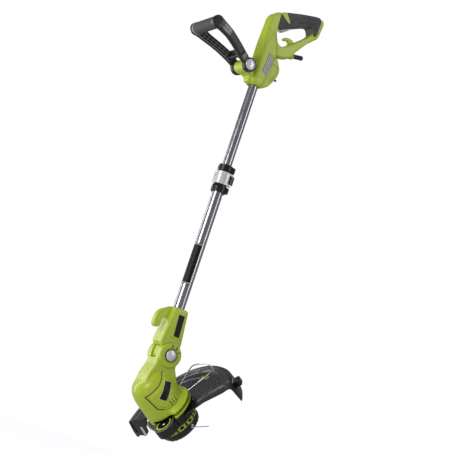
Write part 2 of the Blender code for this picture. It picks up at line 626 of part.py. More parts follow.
def head_pivot(head):
    y_axis = (0.0, 1.0, 0.0)
    lathe("tilt_pin", rod_profile(0.0050, -0.0215, 0.0287), STEEL, head, (0.0, 0.0, 0.0), y_axis, segments=24)
    cap = [(0.0, -0.0368), (0.0100, -0.0362), (0.0132, -0.0340), (0.0138, -0.0320), (0.0138, -0.0262),
           (0.0102, -0.0262), (0.0102, -0.0300), (0.0, -0.0300)]
    lathe("tilt_button", cap, SILVER, head, (0.0, 0.0, 0.0), y_axis, segments=32)
    lathe("tilt_button_spring", ring_profile(0.0080, 0.0096, -0.0259, -0.0223), STEEL, head, (0.0, 0.0, 0.0),
          y_axis, segments=20)


def motor(head):
    at = (SPOOL_X, 0.0, 0.0)
    lathe("field_stator", ring_profile(0.0225, 0.0380, -0.078, -0.038), STEEL, head, at, segments=32)
    lathe("field_coil", ring_profile(0.0240, 0.0350, -0.0377, -0.0310), COPPER, head, at, segments=28)
    bore = 0.0040 + GAP
    lathe("armature", ring_profile(bore, 0.0215, -0.0770, -0.0400), COPPER, head, at, segments=28)
    lathe("commutator", ring_profile(bore, 0.0110, -0.0360, -0.0260), BRASS, head, at, segments=24)
    lathe("motor_shaft", rod_profile(0.0040, -0.1400, -0.0130), STEEL, head, at, segments=20)
    lathe("upper_bearing", ring_profile(bore, 0.0095, -0.0200, -0.0140), STEEL, head, at, segments=24)
    lathe("lower_bearing", ring_profile(bore, 0.0110, -0.1095, -0.1035), STEEL, head, at, segments=24)
    bracket = [(0.0095 + GAP, -0.0215), (0.0350, -0.0215), (0.0350, -0.0240), (0.0385, -0.0240),
               (0.0385, -0.0190), (0.0170, -0.0190), (0.0170, -0.0135), (0.0095 + GAP, -0.0135)]
    lathe("motor_bracket", bracket, BLACK, head, at, segments=28)
    for name, side in (("brush_left", -1), ("brush_right", 1)):
        low, high = sorted((side * 0.0114, side * 0.0215))
        box(name, (SPOOL_X - 0.003, low, -0.0345), (SPOOL_X + 0.003, high, -0.0275), BLACK, head)
    base = [(0.0110 + GAP, -0.1098), (0.0110 + GAP, -0.1030), (0.0150, -0.1030), (0.0400, -0.1030),
            (0.0420, -0.0988), (0.0455, -0.0988), (0.0455, -0.1046), (0.0500, -0.1046), (0.0500, -0.1085),
            (0.0160, -0.1085), (0.0160, -0.1115), (0.0090, -0.1115), (0.0090, -0.1098)]
    base_plate = lathe("motor_base", base, BLACK, head, at, segments=36)
    room = lathe("motor_base_wheel_room", rod_profile(WHEEL_R + 0.0020, -0.1200, -0.1049), None, head,
                 (*WHEEL_XY, 0.0), segments=28)
    cut(base_plate, room)
    fan(head, at)


def fan(head, at):
    """Cooling fan: a disc with straight radial blades on its top."""
    hub = lathe("cooling_fan", ring_profile(0.0040 + GAP, 0.0440, -0.0965, -0.0940), BLACK, head, at,
                segments=36)
    blades = bmesh.new()
    for index in range(10):
        turn = Matrix.Rotation(2.0 * math.pi * index / 10, 4, "Z")
        before = len(blades.verts)
        add_prism(blades, mm_points([(9, -0.8), (43, -0.8), (43, 0.8), (9, 0.8)]), -0.0945, -0.0830, "XY")
        blades.verts.ensure_lookup_table()
        bmesh.ops.transform(blades, matrix=turn, verts=blades.verts[before:])
    join(hub, add_object("fan_blades", blades, None, head, at))
    return hub


def lower_band(head):
    """Lime band round the housing's foot, slim in front and open where the wheel sits."""
    at = (SPOOL_X, 0.0, 0.0)
    band = lathe("lower_band", ring_profile(0.0504, FOOT_R, -0.1110, -0.1048), LIME, head, at, segments=36)
    bm = bmesh.new()
    add_lathe(bm, ring_profile(0.0515, 0.0660, -0.1110, -0.1048), segments=26,
              start=math.radians(-108.0), sweep=math.radians(246.0))
    join(band, add_object("band_flare", bm, None, head, at))
    room = lathe("band_wheel_room", rod_profile(WHEEL_R + 0.0020, -0.1200, -0.0900), None, head,
                 (*WHEEL_XY, 0.0), segments=28)
    return cut(band, room)


def guard_radius(angle):
    """Distance from the spool axis to the guard's rim circle."""
    cx, cy = GUARD_CENTRE
    forward = cx * math.cos(angle) + cy * math.sin(angle)
    return forward + math.sqrt(GUARD_R ** 2 - cx ** 2 - cy ** 2 + forward ** 2)


def guard_section(angle):
    """Closed section of the guard at an angle: points of plate, raised rim and skirt."""
    rim = guard_radius(angle)
    share = (angle - GUARD_NEAR) / (GUARD_FAR - GUARD_NEAR)
    drop = 0.0045 * (1.0 - share) ** 4 - 0.010 * share ** 2
    foot = -0.155 - 0.010 * share
    inner = 0.0570
    reach = rim - inner
    upper = [(0.0, -0.1192), (0.72, -0.1186), (0.88, -0.1150), (0.955, -0.1140), (0.99, -0.1195)]
    lower = [(0.975, -0.1212), (0.945, -0.1168), (0.88, -0.1176), (0.72, -0.1212), (0.0, -0.1218)]
    points = [(inner + reach * t, z + drop * t) for t, z in upper]
    points += [(rim + 0.0020, foot), (rim - 0.0006, foot)]
    points += [(inner + reach * t, z + drop * t) for t, z in lower]
    return points


def guard_edge_turn(angle, radius):
    """Sweeps the guard's near edge back round the hub, so that its corner is rounded."""
    near = max(0.0, 1.0 - (angle - GUARD_NEAR) / math.radians(20.0))
    inward = max(0.0, (0.159 - radius) / 0.102)
    return -math.radians(40.0) * near * inward ** 4


def guard(head):
    steps = 34
    bm = bmesh.new()
    rings = []
    for i in range(steps + 1):
        angle = GUARD_NEAR + (GUARD_FAR - GUARD_NEAR) * i / steps
        ring = []
        for r, z in guard_section(angle):
            a = angle + guard_edge_turn(angle, r)
            ring.append(bm.verts.new((r * math.cos(a), r * math.sin(a), z)))
        rings.append(ring)
    count = len(rings[0])
    for ring, other in zip(rings, rings[1:]):
        for k in range(count):
            m = (k + 1) % count
            bm.faces.new((ring[k], ring[m], other[m], other[k]))
    bm.faces.new(rings[0])
    bm.faces.new(list(reversed(rings[-1])))
    at = (SPOOL_X, 0.0, 0.0)
    body = add_object("guard", bm, BLACK, head, at)
    hub = [(0.0520, -0.1114), (0.0610, -0.1114), (0.0610, -0.1225), (0.0590, -0.1240), (0.0580, -0.1360),
           (0.0560, -0.1360), (0.0560, -0.1345), (0.0300, -0.1345), (0.0300, -0.1318), (0.0540, -0.1318),
           (0.0550, -0.1200)]
    join(body, lathe("guard_hub", hub, None, head, at, segments=36))
    wheel_space = lathe("guard_wheel_space", rod_profile(WHEEL_R + 0.0020, -0.1315, -0.1000), None, head,
                        (*WHEEL_XY, 0.0), segments=32)
    cut(body, wheel_space)
    outline = mm_points([(-134, -50), (-110, -50), (-84, -56), (-84, -30), (-112, -26), (-134, -26)])
    tongue = prism("guard_tongue", outline, -0.1345, -0.1316, None, "XY", head)
    shaft_space = lathe("guard_tongue_space", rod_profile(0.0300, -0.15, -0.12), None, head, at, segments=36)
    hole = [(0.0, -0.1500), (0.0050, -0.1500), (0.0050, -0.1346), (0.0023, -0.1346), (0.0023, -0.1200),
            (0.0, -0.1200)]
    axle_hole = lathe("guard_axle_hole", hole, None, head, (*WHEEL_XY, 0.0), segments=16)
    cut(tongue, shaft_space)
    join(body, tongue)
    cut(body, axle_hole)
    # wall at the far end that carries the cutter
    wall_angle = GUARD_FAR - math.radians(1.2)
    rim = guard_radius(wall_angle)
    turn = Matrix.Rotation(wall_angle, 3, "Z")
    wall = box("guard_wall", (0.0960, -0.0015, -0.1600), (rim - 0.0005, 0.0015, -0.1270), None, head)
    wall.location = at
    wall.rotation_euler = turn.to_euler()
    join(body, wall)
    # clip block outside the near end of the rim
    clip_angle = GUARD_NEAR + math.radians(7.0)
    clip_rim = guard_radius(clip_angle)
    clip = box("guard_clip", (clip_rim - 0.0020, -0.0080, -0.1380), (clip_rim + 0.0120, 0.0080, -0.1160),
               None, head)
    clip.location = at
    clip.rotation_euler = Matrix.Rotation(clip_angle, 3, "Z").to_euler()
    join(body, clip)
    weld(body)
    blade = box("line_cutter", (CUTTER_R - 0.0060, -0.0034, -0.1660), (CUTTER_R + 0.0060, -0.0018, -0.1420),
                STEEL, head)
    blade.location = at
    blade.rotation_euler = turn.to_euler()
    place = turn @ Vector((CUTTER_R, -0.0037, -0.1480)) + Vector(at)
    screw("cutter_screw", place, turn @ Vector((0.0, -1.0, 0.0)), 0.0001, head)
    return body


def plant_guard(head):
    """Bent wire on a ring that turns round the motor's base."""
    at = (SPOOL_X, 0.0, 0.0)
    ring = lathe("plant_guard_ring", ring_profile(0.0459, 0.0525, -0.1043, -0.0989), BLACK, head, at,
                 segments=36)
    half = math.radians(21.0)
    for side in (-1, 1):
        hole = bmesh.new()
        add_lathe(hole, rod_profile(0.0020, 0.0478, 0.0600), segments=12)
        lay = Matrix.Rotation(side * half, 4, "Z") @ Matrix.Translation((0.0, 0.0, WIRE_Z))
        bmesh.ops.transform(hole, matrix=lay @ Matrix.Rotation(math.pi / 2, 4, "Y"), verts=hole.verts)
        cut(ring, add_object("plant_guard_hole_%d" % side, hole, None, head, at))
    points = []
    for radius in (0.0482, 0.060, 0.080, 0.100, 0.120):
        points.append((radius, -half))
    corner = 8
    for i in range(corner + 1):
        a = -half + 2.0 * half * i / corner
        pull = 0.006 * abs(2.0 * i / corner - 1.0) ** 6
        points.append((0.1490 - pull, a * 0.93))
    for radius in (0.120, 0.100, 0.080, 0.060, 0.0482):
        points.append((radius, half))
    route = [(SPOOL_X + r * math.cos(a), r * math.sin(a), WIRE_Z) for r, a in points]
    tube_along("plant_guard_wire", route, 0.0017, STEEL, head, steps=3)


def edge_wheel(head):
    at = (*WHEEL_XY, 0.0)
    bm = bmesh.new()
    teeth = 24
    groove = WHEEL_TOP - 0.0021
    profile = [(0.0046, WHEEL_LOW), (0.0260, WHEEL_LOW), (1.0, WHEEL_LOW + 0.0015), (1.0, WHEEL_TOP - 0.0015),
               (0.0260, WHEEL_TOP), (0.0215, WHEEL_TOP), (0.0215, groove), (0.0165, groove),
               (0.0165, WHEEL_TOP), (0.0046, WHEEL_TOP)]
    rings = []
    for radius, height in profile:
        ring = []
        for i in range(teeth * 2):
            a = math.pi * i / teeth
            r = radius if radius < 0.5 else (WHEEL_R if i % 2 == 0 else WHEEL_R - 0.0012)
            ring.append(bm.verts.new((r * math.cos(a), r * math.sin(a), height)))
        rings.append(ring)
    for k, ring in enumerate(rings):
        other = rings[(k + 1) % len(rings)]
        for i in range(teeth * 2):
            j = (i + 1) % (teeth * 2)
            bm.faces.new((ring[i], ring[j], other[j], other[i]))
    add_object("edge_wheel", bm, BLACK, head, at)
    axle = [(0.0, -0.1361), (0.0045, -0.1361), (0.0045, -0.1349), (0.0020, -0.1349), (0.0020, -0.1312),
            (0.0042, -0.1312), (0.0042, -0.1052), (0.0, -0.1052)]
    lathe("wheel_axle", axle, STEEL, head, at, segments=20)


# ---- spool -------------------------------------------------------------------
def spool(head):
    at = (SPOOL_X, 0.0, 0.0)
    bore = 0.0040 + GAP
    cover = [(bore, -0.1400), (bore, -0.1365), (0.0510, -0.1365), (SPOOL_R, -0.1378), (SPOOL_R, -0.1505),
             (SPOOL_R - 0.0025, -0.1505), (SPOOL_R - 0.0025, -0.1393), (0.0130, -0.1393), (0.0130, -0.1400)]
    housing = lathe("spool_housing", cover, LIME, head, at, segments=36)
    windows = bmesh.new()
    for index in range(12):
        turn = Matrix.Rotation(math.radians(30.0 * index + 10.0), 4, "Z")
        before = len(windows.verts)
        add_prism(windows, mm_points([(48, -5), (56, -5), (56, 5), (48, 5)]), -0.1480, -0.1408, "XY")
        windows.verts.ensure_lookup_table()
        bmesh.ops.transform(windows, matrix=turn, verts=windows.verts[before:])
    cut(housing, add_object("housing_windows", windows, None, head, at))
    line_angle = math.radians(-86.0)
    outward = Vector((math.cos(line_angle), math.sin(line_angle), 0.0))
    eyelet_place = outward * 0.0516 + Vector((0.0, 0.0, -0.1600))
    cap = [(0.0520, -0.1508), (0.0521, -0.1580), (0.0508, -0.1645), (0.0475, -0.1700), (0.0400, -0.1740),
           (0.0260, -0.1765), (0.0260, -0.1740), (0.0390, -0.1716), (0.0456, -0.1680), (0.0483, -0.1635),
           (0.0495, -0.1580), (0.0495, -0.1508)]
    cover_cap = lathe("spool_cap", cap, BLACK, head, at, segments=36)
    eye_hole = lathe("eyelet_space", rod_profile(0.0036, -0.01, 0.01), None, head, eyelet_place + Vector(at),
                     outward, segments=16)
    cut(cover_cap, eye_hole)
    eyelet = [(0.0014, -0.0034), (0.0032, -0.0034), (0.0032, 0.0010), (0.0042, 0.0012), (0.0042, 0.0022),
              (0.0014, 0.0022)]
    lathe("line_eyelet", eyelet, STEEL, head, eyelet_place + Vector(at), outward, segments=16)
    start = eyelet_place + Vector(at) - outward * 0.0030
    swing = Vector((math.cos(math.radians(-76.0)), math.sin(math.radians(-76.0)), 0.0))
    route = [start, start + outward * 0.010, start + outward * 0.022 + swing * 0.002,
             start + outward * 0.022 + swing * 0.022, start + outward * 0.022 + swing * 0.042]
    tube_along("line_end", route, LINE_R, LINE, head, steps=4)
    bobbin = [(0.0140, -0.1705), (0.0240, -0.1705), (0.0240, -0.1665), (0.0420, -0.1665), (0.0420, -0.1647),
              (0.0170, -0.1647), (0.0170, -0.1470), (0.0420, -0.1470), (0.0420, -0.1452), (0.0140, -0.1452)]
    lathe("line_spool", bobbin, BLACK, head, at, segments=32)
    lathe("line_winding", ring_profile(0.0173, 0.0370, -0.1644, -0.1473), LINE, head, at, segments=28)
    lathe("spool_spring", ring_profile(0.0095, 0.0115, -0.1702, -0.1405), STEEL, head, at, segments=20)
    knob = [(0.0, -0.1755), (0.0120, -0.1755), (0.0120, -0.1708), (0.0245, -0.1708), (0.0245, -0.1795),
            (0.0215, -0.1840), (0.0120, -0.1860), (0.0, -0.1860)]
    lathe("bump_knob", knob, BLACK, head, at, segments=32)


def main():
    clear_scene()
    rear_handle()
    front_handle()
    pole()
    yoke()
    head = add_empty("head_frame", TILT_PIVOT, None, HEAD_TILT)
    for name, side in (("head_left_shell", -1), ("head_right_shell", 1)):
        head_shell(name, side, head)
    head_pivot(head)
    motor(head)
    lower_band(head)
    plant_guard(head)
    guard(head)
    edge_wheel(head)
    spool(head)


main()
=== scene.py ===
"""Looks of a corded string trimmer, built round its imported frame.

Everything is in the frame's axes: the pole runs along Z, +X points back to the user and the near
side is -Y. Outlines and radii are in millimetres, and MM turns them into metres. HEAD is the
cutting head's own frame at the tilt pivot and SPOOL the same at the spool axis: X back, Z up.
"""

import json
import math
from math import cos, pi, radians, sin

import bmesh
import bpy
import numpy as np
from mathutils import Matrix, Vector
from mathutils.bvhtree import BVHTree


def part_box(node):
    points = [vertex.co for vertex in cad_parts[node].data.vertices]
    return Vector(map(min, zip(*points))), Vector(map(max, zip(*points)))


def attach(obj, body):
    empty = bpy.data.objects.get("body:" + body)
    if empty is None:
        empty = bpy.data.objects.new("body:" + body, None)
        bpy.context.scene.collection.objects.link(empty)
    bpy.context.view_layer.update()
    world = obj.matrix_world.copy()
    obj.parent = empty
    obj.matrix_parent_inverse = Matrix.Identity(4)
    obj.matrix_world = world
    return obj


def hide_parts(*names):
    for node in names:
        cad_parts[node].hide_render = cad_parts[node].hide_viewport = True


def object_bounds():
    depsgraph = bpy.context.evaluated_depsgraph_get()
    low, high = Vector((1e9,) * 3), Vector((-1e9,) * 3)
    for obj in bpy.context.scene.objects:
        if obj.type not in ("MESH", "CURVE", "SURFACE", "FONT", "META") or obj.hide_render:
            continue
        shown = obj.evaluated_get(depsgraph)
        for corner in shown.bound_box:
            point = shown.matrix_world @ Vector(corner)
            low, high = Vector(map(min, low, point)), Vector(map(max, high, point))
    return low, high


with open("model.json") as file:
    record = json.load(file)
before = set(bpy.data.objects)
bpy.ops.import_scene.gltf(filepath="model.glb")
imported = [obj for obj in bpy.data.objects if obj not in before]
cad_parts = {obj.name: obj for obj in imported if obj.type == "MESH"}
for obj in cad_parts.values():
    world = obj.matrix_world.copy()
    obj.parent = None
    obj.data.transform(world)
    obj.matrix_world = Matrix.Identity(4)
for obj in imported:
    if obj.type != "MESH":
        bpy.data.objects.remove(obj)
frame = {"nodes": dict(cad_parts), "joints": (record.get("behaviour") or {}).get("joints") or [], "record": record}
CAD_LOW, CAD_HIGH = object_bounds()

MM = 0.001
JOINTS = {joint["name"]: joint for joint in frame["joints"]}
Y_AXIS = Vector((0.0, 1.0, 0.0))


def head_frame():
    up = Vector(JOINTS["motor_spin"]["axis"]).normalized()
    turn = Matrix((Y_AXIS.cross(up), Y_AXIS, up)).transposed().to_4x4()
    return Matrix.Translation(JOINTS["head_tilt"]["pos_m"]) @ turn


def joint_place(name, base):
    """A joint's point in another frame, in millimetres."""
    return base.inverted() @ Vector(JOINTS[name]["pos_m"]) / MM


PART = Matrix.Identity(4)
HEAD = head_frame()
SPOOL_X = joint_place("motor_spin", HEAD).x
SPOOL = HEAD @ Matrix.Translation((SPOOL_X * MM, 0.0, 0.0))
WHEEL_PLACE = joint_place("edge_wheel_roll", SPOOL)
WHEEL = SPOOL @ Matrix.Translation((WHEEL_PLACE.x * MM, WHEEL_PLACE.y * MM, 0.0))
PIVOT = Matrix.Translation(JOINTS["head_tilt"]["pos_m"])
PIVOT_X, TILT_Z = (JOINTS["head_tilt"]["pos_m"][k] / MM for k in (0, 2))
FRONT_PIVOT = Vector(JOINTS["front_handle_swing"]["pos_m"])
FRONT = Matrix.Translation(FRONT_PIVOT)


# ---- camera and light -----------------------------------------------------------
def linked(name, data):
    """New object with this data, placed in the scene."""
    obj = bpy.data.objects.new(name, data)
    bpy.context.scene.collection.objects.link(obj)
    return obj


def moved(x, y, z):
    """Shift by millimetres."""
    return Matrix.Translation(Vector((x, y, z)) * MM)


def turned(degrees, axis="Z"):
    return Matrix.Rotation(radians(degrees), 4, axis)


def around(base, count, first=0.0):
    """Frames turned evenly about a base frame's Z axis."""
    return [base @ turned(first + 360.0 / count * i) for i in range(count)]


def pointing(axis):
    """Turn that brings Z onto an axis."""
    return Vector((0.0, 0.0, 1.0)).rotation_difference(Vector(axis)).to_matrix().to_4x4()


def polar(radius, angle, height=0.0):
    return Vector((radius * cos(angle), radius * sin(angle), height))


def make_camera():
    data = bpy.data.cameras.new("camera")
    data.lens = 79.396
    data.sensor_width = 36.0
    data.clip_end = 50.0
    camera = linked("camera", data)
    camera.matrix_world = Matrix(((0.76872, -0.37966, -0.51471, -1.24818),
                                  (-0.56160, -0.01557, -0.82726, -2.09980),
                                  (0.30607, 0.92499, -0.22518, -0.94628),
                                  (0.0, 0.0, 0.0, 1.0)))
    bpy.context.scene.camera = camera
    return camera


def soft_light(name, camera, right, up, back, size, power, height=None):
    """Area light placed from the middle of the object along the camera's own axes, in metres."""
    middle = (CAD_LOW + CAD_HIGH) / 2.0
    axes = camera.matrix_world.to_3x3()
    place = middle + axes.col[0] * right + axes.col[1] * up + axes.col[2] * back
    data = bpy.data.lights.new(name, "AREA")
    data.energy = power
    data.size = size
    if height is not None:
        data.shape = "RECTANGLE"
        data.size_y = height
    light = linked(name, data)
    light.location = place
    light.rotation_mode = "QUATERNION"
    light.rotation_quaternion = (middle - place).to_track_quat("-Z", "Y")


def make_world():
    """White behind the object, and a dimmer white all round it to light it softly."""
    world = bpy.data.worlds.new("studio")
    bpy.context.scene.world = world
    world.use_nodes = True
    tree = world.node_tree
    tree.nodes.clear()
    room = tree.nodes.new("ShaderNodeBackground")
    room.inputs["Color"].default_value = (0.93, 0.95, 1.0, 1.0)
    room.inputs["Strength"].default_value = 0.27
    paper = tree.nodes.new("ShaderNodeBackground")
    paper.inputs["Color"].default_value = (1.0, 1.0, 1.0, 1.0)
    paper.inputs["Strength"].default_value = 1.0
    path = tree.nodes.new("ShaderNodeLightPath")
    mix = tree.nodes.new("ShaderNodeMixShader")
    out = tree.nodes.new("ShaderNodeOutputWorld")
    tree.links.new(path.outputs["Is Camera Ray"], mix.inputs["Fac"])
    tree.links.new(room.outputs[0], mix.inputs[1])
    tree.links.new(paper.outputs[0], mix.inputs[2])
    tree.links.new(mix.outputs[0], out.inputs["Surface"])


bpy.context.scene.view_settings.view_transform = "Standard"
camera = make_camera()
make_world()
soft_light("key", camera, -1.3, 1.0, 1.3, 0.9, 19.0)
soft_light("side", camera, 1.7, 0.3, 0.5, 0.35, 7.0, 1.8)
soft_light("rim", camera, -1.5, 0.1, -0.7, 0.35, 9.0, 1.8)
soft_light("under", camera, 0.2, -1.3, 1.2, 1.2, 2.0)


# ---- materials ---------------------------------------------------------------
class Nodes:
    """Short way to add linked shader nodes to one material."""

    def __init__(self, name):
        self.material = bpy.data.materials.new(name)
        self.material.use_nodes = True
        self.tree = self.material.node_tree
        self.shader = self.tree.nodes["Principled BSDF"]
        self.place = self.add("ShaderNodeTexCoord").outputs["Object"]

    def feed(self, socket, value):
        """Links another node's output to a socket, or sets the socket's own value."""
        if isinstance(value, bpy.types.NodeSocket):
            self.tree.links.new(value, socket)
        else:
            socket.default_value = value

    def add(self, kind, inputs=None, **settings):
        node = self.tree.nodes.new(kind)
        for key, value in settings.items():
            setattr(node, key, value)
        for key, value in (inputs or {}).items():
            self.feed(node.inputs[key], value)
        return node

    def set(self, **values):
        for key, value in values.items():
            self.feed(self.shader.inputs[key.replace("_", " ")], value)

    def mark(self, name):
        """A measure that the mesh carries at each point, such as wear."""
        return self.add("ShaderNodeAttribute", attribute_name=name).outputs["Fac"]

    def stretched(self, scale, rotation=(0.0, 0.0, 0.0)):
        inputs = {"Vector": self.place, "Rotation": rotation, "Scale": scale}
        return self.add("ShaderNodeMapping", inputs).outputs["Vector"]

    def noise(self, scale, detail=3.0, roughness=0.55, place=None):
        inputs = {"Vector": self.place if place is None else place, "Scale": scale,
                  "Detail": detail, "Roughness": roughness}
        return self.add("ShaderNodeTexNoise", inputs).outputs["Fac"]

    def ramp(self, value, low, high, to_low=0.0, to_high=1.0):
        inputs = {"Value": value, "From Min": low, "From Max": high, "To Min": to_low, "To Max": to_high}
        return self.add("ShaderNodeMapRange", inputs).outputs["Result"]

    def mix(self, share, first, second):
        return self.add("ShaderNodeMix", {0: share, 6: first, 7: second}, data_type="RGBA").outputs[2]

    def maths(self, operation, first, second):
        return self.add("ShaderNodeMath", {0: first, 1: second}, operation=operation).outputs[0]

    def bump(self, height, strength, distance):
        inputs = {"Height": height, "Strength": strength, "Distance": distance}
        return self.add("ShaderNodeBump", inputs).outputs["Normal"]


def scaled(colour, share):
    return (*[min(1.0, c * share) for c in colour], 1.0)


def moulded_plastic(name, colour, roughness, grain=1500.0, relief=0.05, tone=0.06, coat=0.0,
                    worn=1.5, dust=0.35, metallic=0.0, uneven=0.08, specular=0.5):
    """Moulded surface: fine texture, uneven tone and gloss, rubbed edges, dust specks and painted shade in
    recesses.
    """
    m = Nodes(name)
    patches = m.noise(90.0, 5.0, 0.65)
    base = m.mix(m.ramp(m.noise(14.0, 4.0), 0.3, 0.7), scaled(colour, 1.0 - tone), scaled(colour, 1.0 + tone))
    rubbed = m.maths("MULTIPLY", m.mark("wear"), m.ramp(patches, 0.42, 0.72))
    base = m.mix(m.maths("MULTIPLY", rubbed, 0.55), base, scaled([c * 0.8 + 0.06 for c in colour], worn))
    # Painted shade: where the mesh's shade mark is set, the colour drops almost to black, as shade in channels and
    # seams.
    base = m.mix(m.mark("groove"), base, scaled(colour, 0.10))
    speck = m.ramp(m.noise(420.0, 4.0, 0.7), 0.60, 0.74, 0.0, dust)
    base = m.mix(m.maths("MULTIPLY", speck, 0.25), base, scaled([c * 0.7 + 0.10 for c in colour], 1.0))
    rough = m.maths("ADD", m.ramp(patches, 0.3, 0.7, roughness - uneven, roughness + uneven),
                    m.maths("MULTIPLY", rubbed, 0.12))
    m.set(Base_Color=base, Roughness=rough, Metallic=metallic,
          Normal=m.bump(m.noise(grain, 2.0), relief, 0.0003),
          Coat_Weight=coat, Coat_Roughness=0.18, Specular_IOR_Level=specular)
    return m.material


def rubber(name, colour, roughness, grain=2200.0):
    """Soft overmould: matt with a fine stipple, shinier where hands rub it."""
    m = Nodes(name)
    cells = m.add("ShaderNodeTexVoronoi", {"Vector": m.place, "Scale": grain * 0.45}).outputs["Distance"]
    hands = m.noise(24.0, 4.0)
    base = m.mix(m.ramp(hands, 0.3, 0.7), scaled(colour, 0.82), scaled(colour, 1.22))
    # Painted shade: the shade mark darkens the rubber in its channels.
    m.set(Base_Color=m.mix(m.mark("groove"), base, scaled(colour, 0.15)),
          Roughness=m.ramp(hands, 0.3, 0.7, roughness + 0.08, roughness - 0.14),
          Normal=m.bump(cells, 0.22, 0.0004), Sheen_Weight=0.08)
    return m.material


def drawn_metal(name, colour, roughness, stretch=(350.0, 350.0, 6.0), relief=0.008, stains=0.08):
    """Metal with drawing lines along its length, light stains and scattered fine scratches."""
    m = Nodes(name)
    lines = m.noise(1.0, 3.0, 0.6, m.stretched(stretch))
    cloud = m.noise(30.0, 5.0, 0.6)
    scratch = m.noise(1.0, 2.0, place=m.stretched((60.0, 2600.0, 60.0), (0.5, 0.2, 0.4)))
    base = m.mix(m.ramp(cloud, 0.35, 0.7), scaled(colour, 1.0 - stains), scaled(colour, 1.0 + stains))
    base = m.mix(m.maths("MULTIPLY", m.ramp(scratch, 0.70, 0.76), 0.08), base, scaled(colour, 1.4))
    rough = m.maths("ADD", m.ramp(lines, 0.3, 0.7, roughness - 0.03, roughness + 0.04),
                    m.ramp(cloud, 0.3, 0.7, -0.03, 0.05))
    m.set(Base_Color=base, Roughness=rough, Metallic=1.0, Normal=m.bump(lines, relief, 0.0002))
    return m.material


def wound_wire(name, colour, pitch=2400.0):
    """Lacquered wire turns: fine parallel ridges that catch the light, with painted shade between the turns and a
    painted highlight on each crest.
    """
    m = Nodes(name)
    inputs = {"Vector": m.place, "Scale": pitch, "Distortion": 1.5, "Detail": 2.0}
    turns = m.add("ShaderNodeTexWave", inputs, bands_direction="DIAGONAL").outputs["Fac"]
    # Painted shade and highlight: dark between the turns, light on their crests.
    m.set(Base_Color=m.mix(turns, scaled(colour, 0.45), scaled(colour, 1.3)), Metallic=0.8,
          Roughness=m.ramp(turns, 0.0, 1.0, 0.55, 0.30), Normal=m.bump(turns, 0.5, 0.0004))
    return m.material


def drawn_nylon(name, colour):
    """Extruded line: slightly clear, with a lengthwise sheen and darker flecks."""
    m = Nodes(name)
    flecks = m.noise(380.0, 4.0)
    m.set(Base_Color=m.mix(m.ramp(flecks, 0.35, 0.65), scaled(colour, 0.75), scaled(colour, 1.25)),
          Roughness=m.ramp(flecks, 0.3, 0.7, 0.28, 0.45), Normal=m.bump(flecks, 0.1, 0.0002),
          Coat_Weight=0.2)
    return m.material


def printed_label(name, colour, roughness=0.32):
    """Printed film: smooth and glossy with faint rubbed streaks."""
    m = Nodes(name)
    streaks = m.noise(1.0, 4.0, place=m.stretched((40.0, 40.0, 700.0)))
    base = m.mix(m.ramp(streaks, 0.55, 0.75, 0.0, 0.3), scaled(colour, 1.0),
                 scaled([c * 0.8 + 0.02 for c in colour], 1.0))
    m.set(Base_Color=base, Roughness=m.ramp(streaks, 0.3, 0.7, roughness - 0.05, roughness + 0.12),
          Normal=m.bump(m.noise(500.0, 2.0), 0.05, 0.0002), Specular_IOR_Level=0.3)
    return m.material


LIME_RGB = (0.53, 0.66, 0.032)
FINISHES = {
    "lime_plastic": moulded_plastic("lime_moulding", LIME_RGB, 0.34, coat=0.10, tone=0.05, worn=1.15),
    "black_plastic": moulded_plastic("black_moulding", (0.010, 0.010, 0.011), 0.27, coat=0.10, worn=2.5,
                                     dust=0.05, relief=0.008, grain=900.0,
                                     uneven=0.03, specular=0.4),
    "grey_rubber": rubber("grey_overmould", (0.062, 0.063, 0.065), 0.60),
    "light_grey_plastic": moulded_plastic("light_grey_moulding", (0.55, 0.56, 0.57), 0.36, worn=1.2),
    "aluminium_tube": drawn_metal("satin_aluminium", (0.40, 0.41, 0.43), 0.22, (110.0, 110.0, 3.0), 0.003),
    "silver_plastic": moulded_plastic("silver_moulding", (0.78, 0.79, 0.81), 0.26, coat=0.3, metallic=0.25,
                                      worn=1.1, tone=0.03),
    "steel": drawn_metal("bright_steel", (0.66, 0.67, 0.68), 0.24, (90.0, 90.0, 90.0), 0.004),
    "copper_winding": wound_wire("copper_turns", (0.62, 0.27, 0.10)),
    "brass_contact": drawn_metal("brass", (0.78, 0.62, 0.27), 0.28, (700.0, 700.0, 40.0)),
    "nylon_line": drawn_nylon("teal_nylon", (0.03, 0.25, 0.30)),
    "black_rubber": rubber("black_lead_rubber", (0.020, 0.020, 0.022), 0.55),
}
BLACK_PRINT = printed_label("black_print", (0.006, 0.006, 0.007), 0.45)
WHITE_PRINT = printed_label("white_print", (0.78, 0.78, 0.78), 0.4)
GREY_PRINT = printed_label("grey_print", (0.42, 0.43, 0.46), 0.4)
PANEL_GREY = moulded_plastic("panel_grey", (0.085, 0.085, 0.088), 0.24, coat=0.4, tone=0.08, worn=1.3)
BLADE_STEEL = drawn_metal("ground_steel", (0.86, 0.86, 0.87), 0.42, (60.0, 60.0, 60.0), 0.004)
RIB_GREY = moulded_plastic("rib_grey", (0.20, 0.20, 0.205), 0.35, tone=0.08, worn=1.3)


def dress_frame():
    """Gives every CAD node the finish of its slot in the record."""
    for entry in frame["record"]["subparts"]:
        node = frame["nodes"][entry["node"]]
        for slot in node.material_slots:
            slot.material = FINISHES[entry["material_slot"]]


# ---- mesh helpers --------------------------------------------------------------
JOINT_LINE = 0.4                 # gap between the two halves of a moulding
WELL_DEPTH = 2.6                 # how deep screws sit in the handle and the yoke


def mesh_object(name, bm):
    mesh = bpy.data.meshes.new(name)
    bm.to_mesh(mesh)
    bm.free()
    return linked(name, mesh)


def new_object(name, bm, base=PART):
    """Object at the origin whose mesh is placed by its base frame."""
    bmesh.ops.recalc_face_normals(bm, faces=bm.faces)
    bm.transform(base)
    return mesh_object(name, bm)


def as_shown(obj):
    """New mesh of what a curve, a text or a mesh with modifiers shows."""
    bpy.context.view_layer.update()
    graph = bpy.context.evaluated_depsgraph_get()
    return bpy.data.meshes.new_from_object(obj.evaluated_get(graph))


